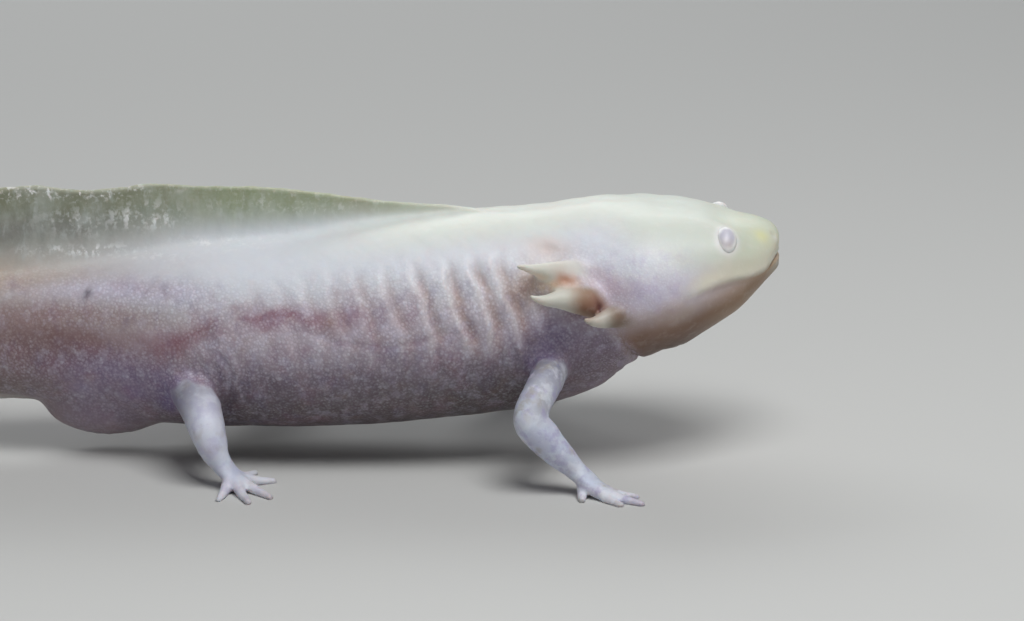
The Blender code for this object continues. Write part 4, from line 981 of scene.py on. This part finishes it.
def skin_material():
    k = Nodes("axolotl_skin")
    tone, grain, fin, leg = k.attr("tone", "Color"), k.attr("grain"), k.attr("fin"), k.attr("leg")
    # fine pale granules of the flank, close set, with thin darker gaps; coarser ones among finer ones
    fine = k.attr("fine")
    g1, pale1 = k.granules(0.00064, 0.95)
    g2, pale2 = k.granules(0.00042, 1.0)
    patch = k.math("ADD", k.math("MULTIPLY", k.ramp(k.noise(0.0034, 3.0), 0.34, 0.68), 0.45), 0.55)
    # patches of blood, of grey, of tan and of pale lilac under the skin
    colour = k.mix(k.math("MULTIPLY", k.math("MULTIPLY", k.ramp(k.noise(0.0052, 5.0, 0.62), 0.48, 0.72), grain), 0.30), tone, rgb(160, 106, 126))
    colour = k.mix(k.math("MULTIPLY", k.math("MULTIPLY", k.ramp(k.noise(0.0030, 4.0, 0.6, (1, 1, 0.6)), 0.50, 0.70), grain), 0.30), colour, rgb(116, 104, 140))
    colour = k.mix(k.math("MULTIPLY", k.math("MULTIPLY", k.ramp(k.noise(0.0041, 4.0, 0.6, (0.8, 1, 1)), 0.54, 0.72), grain), 0.26), colour, rgb(158, 136, 118))
    colour = k.mix(k.math("MULTIPLY", k.math("MULTIPLY", k.ramp(k.noise(0.0023, 4.0, 0.6), 0.50, 0.68), k.math("ADD", grain, fine, True)), 0.26), colour, rgb(222, 220, 240))
    colour = k.mix(k.math("MULTIPLY", k.math("MULTIPLY", k.ramp(k.noise(0.0027, 4.0, 0.6, (1, 0.9, 1)), 0.48, 0.66), fine), 0.30), colour, rgb(188, 170, 204))
    colour = k.mix(k.math("MULTIPLY", k.math("MULTIPLY", k.math("SUBTRACT", 1.0, g1), grain), 0.20), colour, rgb(108, 88, 108))
    colour = k.mix(k.math("MULTIPLY", k.math("MULTIPLY", pale1, patch), k.math("MULTIPLY", grain, 0.30)), colour, rgb(226, 226, 238))
    colour = k.mix(k.math("MULTIPLY", k.math("MULTIPLY", pale2, patch), k.math("MULTIPLY", grain, 0.22)), colour, rgb(232, 232, 244))
    colour = k.mix(k.math("MULTIPLY", k.math("MULTIPLY", k.math("SUBTRACT", 1.0, g1), fine), 0.14), colour, rgb(160, 142, 172))
    colour = k.mix(k.math("MULTIPLY", k.math("MULTIPLY", pale2, patch), k.math("MULTIPLY", fine, 0.30)), colour, rgb(238, 240, 250))
    # soft blotches everywhere
    colour = k.mix(k.math("MULTIPLY", k.ramp(k.noise(0.0085, 4.0, 0.6), 0.50, 0.78), 0.10), colour, rgb(206, 170, 168))
    colour = k.mix(k.math("MULTIPLY", k.ramp(k.noise(0.0016, 3.0), 0.50, 0.72), 0.06), colour, rgb(250, 248, 244))
    # limbs: lilac veining and pale blue flecks
    colour = k.mix(k.math("MULTIPLY", k.math("MULTIPLY", k.ramp(k.noise(0.0031, 5.0, 0.65), 0.48, 0.64), leg), 0.55), colour, rgb(164, 154, 196))
    colour = k.mix(k.math("MULTIPLY", k.math("MULTIPLY", k.ramp(k.noise(0.0037, 4.0, 0.6, (1, 1, 0.8)), 0.52, 0.66), leg), 0.50), colour, rgb(166, 158, 142))
    colour = k.mix(k.math("MULTIPLY", k.math("MULTIPLY", k.ramp(k.noise(0.0042, 4.0, 0.6, (0.9, 1, 1)), 0.50, 0.64), leg), 0.50), colour, rgb(232, 236, 244))
    colour = k.mix(k.math("MULTIPLY", k.math("MULTIPLY", k.ramp(k.noise(0.0012, 3.0), 0.54, 0.74), leg), 0.20), colour, rgb(244, 247, 255))
    # fin: milky clouds, white flecks near its foot and its edge, faint rays
    milky = k.math("MULTIPLY", k.ramp(k.noise(0.007, 6.0, 0.68, (1.0, 1.0, 0.6)), 0.40, 0.70), 0.38)
    colour = k.mix(k.math("MULTIPLY", milky, fin), colour, rgb(206, 212, 206))
    smudge = k.math("MULTIPLY", k.ramp(k.noise(0.0019, 3.0, 0.55, (1.0, 1.0, 0.5)), 0.52, 0.68), k.ramp(k.noise(0.011, 2.0), 0.46, 0.62))
    colour = k.mix(k.math("MULTIPLY", k.math("MULTIPLY", smudge, 0.34), fin), colour, rgb(214, 222, 222))
    rays = k.math("MULTIPLY", k.ramp(k.noise(0.0016, 3.0, 0.6, (1.0, 1.0, 0.22)), 0.46, 0.76), 0.12)
    colour = k.mix(k.math("MULTIPLY", rays, fin), colour, rgb(110, 118, 104))
    fleck = k.math("MULTIPLY", k.ramp(k.noise(0.0017, 3.0, 0.60, (1.15, 1.0, 0.80)), 0.52, 0.64), k.ramp(k.noise(0.0048, 3.0), 0.38, 0.54))
    dust = k.math("MULTIPLY", k.ramp(k.noise(0.0009, 3.0, 0.6), 0.50, 0.68), 0.45)
    colour = k.mix(k.math("MULTIPLY", k.math("ADD", k.math("MULTIPLY", fleck, 0.95), dust, True), k.attr("fleck")), colour, rgb(250, 252, 252))
    k.link(colour, k.bsdf.inputs["Base Color"])
    # surface: damp and soft
    rough = k.math("ADD", k.math("MULTIPLY", k.noise(0.003, 3.0), 0.16), 0.38)
    k.link(rough, k.bsdf.inputs["Roughness"])
    lift = k.math("ADD", k.math("MULTIPLY", k.math("MULTIPLY", g1, grain), 0.45), k.math("MULTIPLY", k.noise(0.0010, 4.0, 0.6), 0.6))
    lift = k.math("ADD", lift, k.math("MULTIPLY", k.math("MULTIPLY", g2, k.math("ADD", grain, fine, True)), 0.25))
    rise = k.new("ShaderNodeBump")
    rise.inputs["Strength"].default_value = 0.6
    rise.inputs["Distance"].default_value = 0.00012
    k.link(lift, rise.inputs["Height"])
    k.link(rise.outputs["Normal"], k.bsdf.inputs["Normal"])
    b = k.bsdf.inputs
    b["Subsurface Weight"].default_value = 0.30
    b["Subsurface Radius"].default_value = (1.0, 0.55, 0.42)
    b["Subsurface Scale"].default_value = 0.0016
    b["Specular IOR Level"].default_value = 0.35
    b["Coat Weight"].default_value = 0.06
    b["Coat Roughness"].default_value = 0.30
    return k.mat


skin = mesh_object("axolotl_skin", WORLD, QUADS)
attribute(skin.data, "tone", "FLOAT_COLOR", COLOUR)
attribute(skin.data, "grain", "FLOAT", GRAIN)
attribute(skin.data, "fine", "FLOAT", FINE)
attribute(skin.data, "fin", "FLOAT", M["fin"])
attribute(skin.data, "leg", "FLOAT", M["leg"] * (1 - 0.55 * (P[:, 0] < 50.0)))
_s = np.clip(M["fin_s"], 0, 1)
_x, _z = P[:, 0], P[:, 2]
_high = step(M["v"], 0.55, 0.8)
_edge = M["fin"] * bump(_s - 0.93, 0.09) * (0.25 + 0.75 * step(-_x, -14.0, -2.0) * step(_x, -30.0, -16.0))
_flecks = np.maximum.reduce([0.90 * spot(_x, _z, 8.0, 44.6, 6.4, 2.3), 0.50 * spot(_x, _z, -4.0, 43.6, 7.0, 2.6), 0.95 * spot(_x, _z, -1.5, 38.3, 12.0, 1.0),
                             0.45 * spot(_x, _z, 22.0, 40.2, 9.0, 0.9), 0.45 * spot(_x, _z, 34.0, 46.6, 14.0, 1.6), 0.60 * spot(_x, _z, -34.0, 41.0, 9.0, 2.4),
                             0.55 * spot(_x, _z, -64.0, 33.0, 12.0, 2.2), _edge])
attribute(skin.data, "fleck", "FLOAT", np.clip(_high * _flecks, 0, 1) * step(-_x, -66.0, -52.0))
skin.data.materials.append(skin_material())
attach(skin, "root")
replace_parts(skin, *[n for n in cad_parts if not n.startswith("eye_")])


# ------------------------------------------------------------------ eyes
def eye_material():
    k = Nodes("axolotl_eye")
    cloud = k.ramp(k.noise(0.0009, 4.0, 0.6), 0.40, 0.70)
    k.link(k.mix(k.math("MULTIPLY", cloud, 0.22), k.attr("tone", "Color"), rgb(206, 202, 214)), k.bsdf.inputs["Base Color"])
    k.link(k.math("ADD", k.math("MULTIPLY", k.noise(0.0007, 2.0), 0.10), 0.34), k.bsdf.inputs["Roughness"])
    b = k.bsdf.inputs
    b["Subsurface Weight"].default_value = 0.85
    b["Subsurface Radius"].default_value = (1.0, 0.9, 0.9)
    b["Subsurface Scale"].default_value = 0.0016
    b["Coat Weight"].default_value = 0.14
    b["Coat Roughness"].default_value = 0.16
    return k.mat


def make_eye(name, side):
    """A wet pale dome without lids: a slightly raised clear window over a faint iris, browner at its foot."""
    rings, sides = 44, 72
    flip = Vector((1, side, 1))
    out, up, fore = EYE_OUT * flip, EYE_UP * flip, EYE_FORE * flip
    centre = Vector((EYE[0], side * EYE[1] + CENTRE_Y, EYE[2]))
    verts, tones = [], []
    for i in range(rings + 1):
        t = math.pi * i / rings
        for j in range(sides if 0 < i < rings else 1):
            a = 2 * math.pi * j / sides
            lift = 1.0 + 0.05 * math.exp(-(t / 0.6) ** 2)
            q = (fore * (math.cos(a) * math.sin(t) * EYE_RADII[0]) + up * (math.sin(a) * math.sin(t) * EYE_RADII[1])
                 + out * (math.cos(t) * EYE_RADII[2])) * lift
            verts.append((centre + q) * MM)
            deg = math.degrees(t)
            w = math.sin(a) * math.sin(t)
            # the rim, past about 34 degrees, made paler as painted light against the shade at the eye's edge
            c = rgb(205, 204, 212)
            for over, amount in ((rgb(203, 201, 214), math.exp(-(deg / 19.0) ** 4) * 0.40),
                                 (rgb(196, 192, 206), math.exp(-((deg - 30) / 9.0) ** 2) * (0.22 + 0.10 * math.sin(a * 21))),
                                 (rgb(208, 199, 196), min(1.0, max(0.0, (0.02 - w) / 0.62)) * 0.80),
                                 (rgb(238, 236, 232), min(1.0, max(0.0, (deg - 34) / 16.0)) * 0.92)):
                c = c + (over - c) * amount
            tones.append(c)
    row = lambda i: [0] if i == 0 else [1 + (rings - 1) * sides] if i == rings else [1 + (i - 1) * sides + j for j in range(sides)]
    faces = []
    for i in range(rings):
        top, low = row(i), row(i + 1)
        for j in range(sides):
            n = (j + 1) % sides
            face = ([top[0], low[j], low[n]] if len(top) == 1 else [top[n], top[j], low[0]] if len(low) == 1
                    else [top[j], low[j], low[n], top[n]])
            faces.append(face if fore.cross(up).dot(out) > 0 else face[::-1])
    obj = mesh_object(name, verts, faces)
    attribute(obj.data, "tone", "FLOAT_COLOR", np.array(tones))
    obj.data.materials.append(EYE_MATERIAL)
    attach(obj, "root")
    return obj


EYE_MATERIAL = eye_material()
for tag, side in (("r", -1), ("l", 1)):
    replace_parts(make_eye(f"eyeball_{tag}", side), f"eye_{tag}")


# ------------------------------------------------------------------ floor, light, camera
def stage():
    bpy.ops.mesh.primitive_plane_add(size=8.0, location=(0, 0, 0))
    floor = bpy.context.object
    floor.name = "floor"
    k = Nodes("floor_paper")
    k.link(k.mix(k.math("MULTIPLY", k.noise(0.0012, 3.0), 0.10), rgb(198, 198, 195), rgb(191, 191, 188)), k.bsdf.inputs["Base Color"])
    k.bsdf.inputs["Roughness"].default_value = 0.85
    floor.data.materials.append(k.mat)

    world = bpy.data.worlds.new("studio")
    bpy.context.scene.world = world
    world.use_nodes = True
    world.node_tree.nodes["Background"].inputs["Color"].default_value = (0.92, 0.95, 1.0, 1)
    world.node_tree.nodes["Background"].inputs["Strength"].default_value = 0.13

    def area(name, place, aim, size, power, colour=(1, 1, 1)):
        light = bpy.data.lights.new(name, "AREA")
        light.shape = "RECTANGLE"
        light.size, light.size_y = size
        light.energy = power
        light.color = colour
        obj = bpy.data.objects.new(name, light)
        obj.location = place
        obj.rotation_euler = (Vector(aim) - Vector(place)).to_track_quat("-Z", "Y").to_euler()
        bpy.context.collection.objects.link(obj)

    area("key", (0.20, -0.22, 0.58), (0.07, 0.0, 0.02), (0.40, 0.26), 2.9, (0.985, 0.99, 1.0))
    area("back", (-0.2, 1.1, 0.9), (0.0, 0.55, 0.0), (1.6, 0.6), 9.0, (0.96, 0.98, 1.0))
    area("fill", (-0.30, -0.9, 0.30), (0.03, 0.0, 0.02), (0.6, 0.5), 0.5, (0.90, 0.94, 1.0))


def camera():
    cam = bpy.data.cameras.new("camera")
    obj = bpy.data.objects.new("camera", cam)
    bpy.context.collection.objects.link(obj)
    e = math.radians(15.5)
    aim = Vector((0.0756, CENTRE_Y * MM, 0.0265))
    far = 0.6
    obj.location = aim + Vector((0, -math.cos(e), math.sin(e))) * far
    obj.rotation_euler = (math.pi / 2 - e, 0, 0)
    cam.sensor_width = 36.0
    cam.lens = 36.0 * far / 0.1894
    cam.clip_start, cam.clip_end = 0.01, 20.0
    bpy.context.scene.camera = obj


stage()
camera()
bpy.context.scene.view_settings.view_transform = "Standard"
bpy.context.view_layer.update()
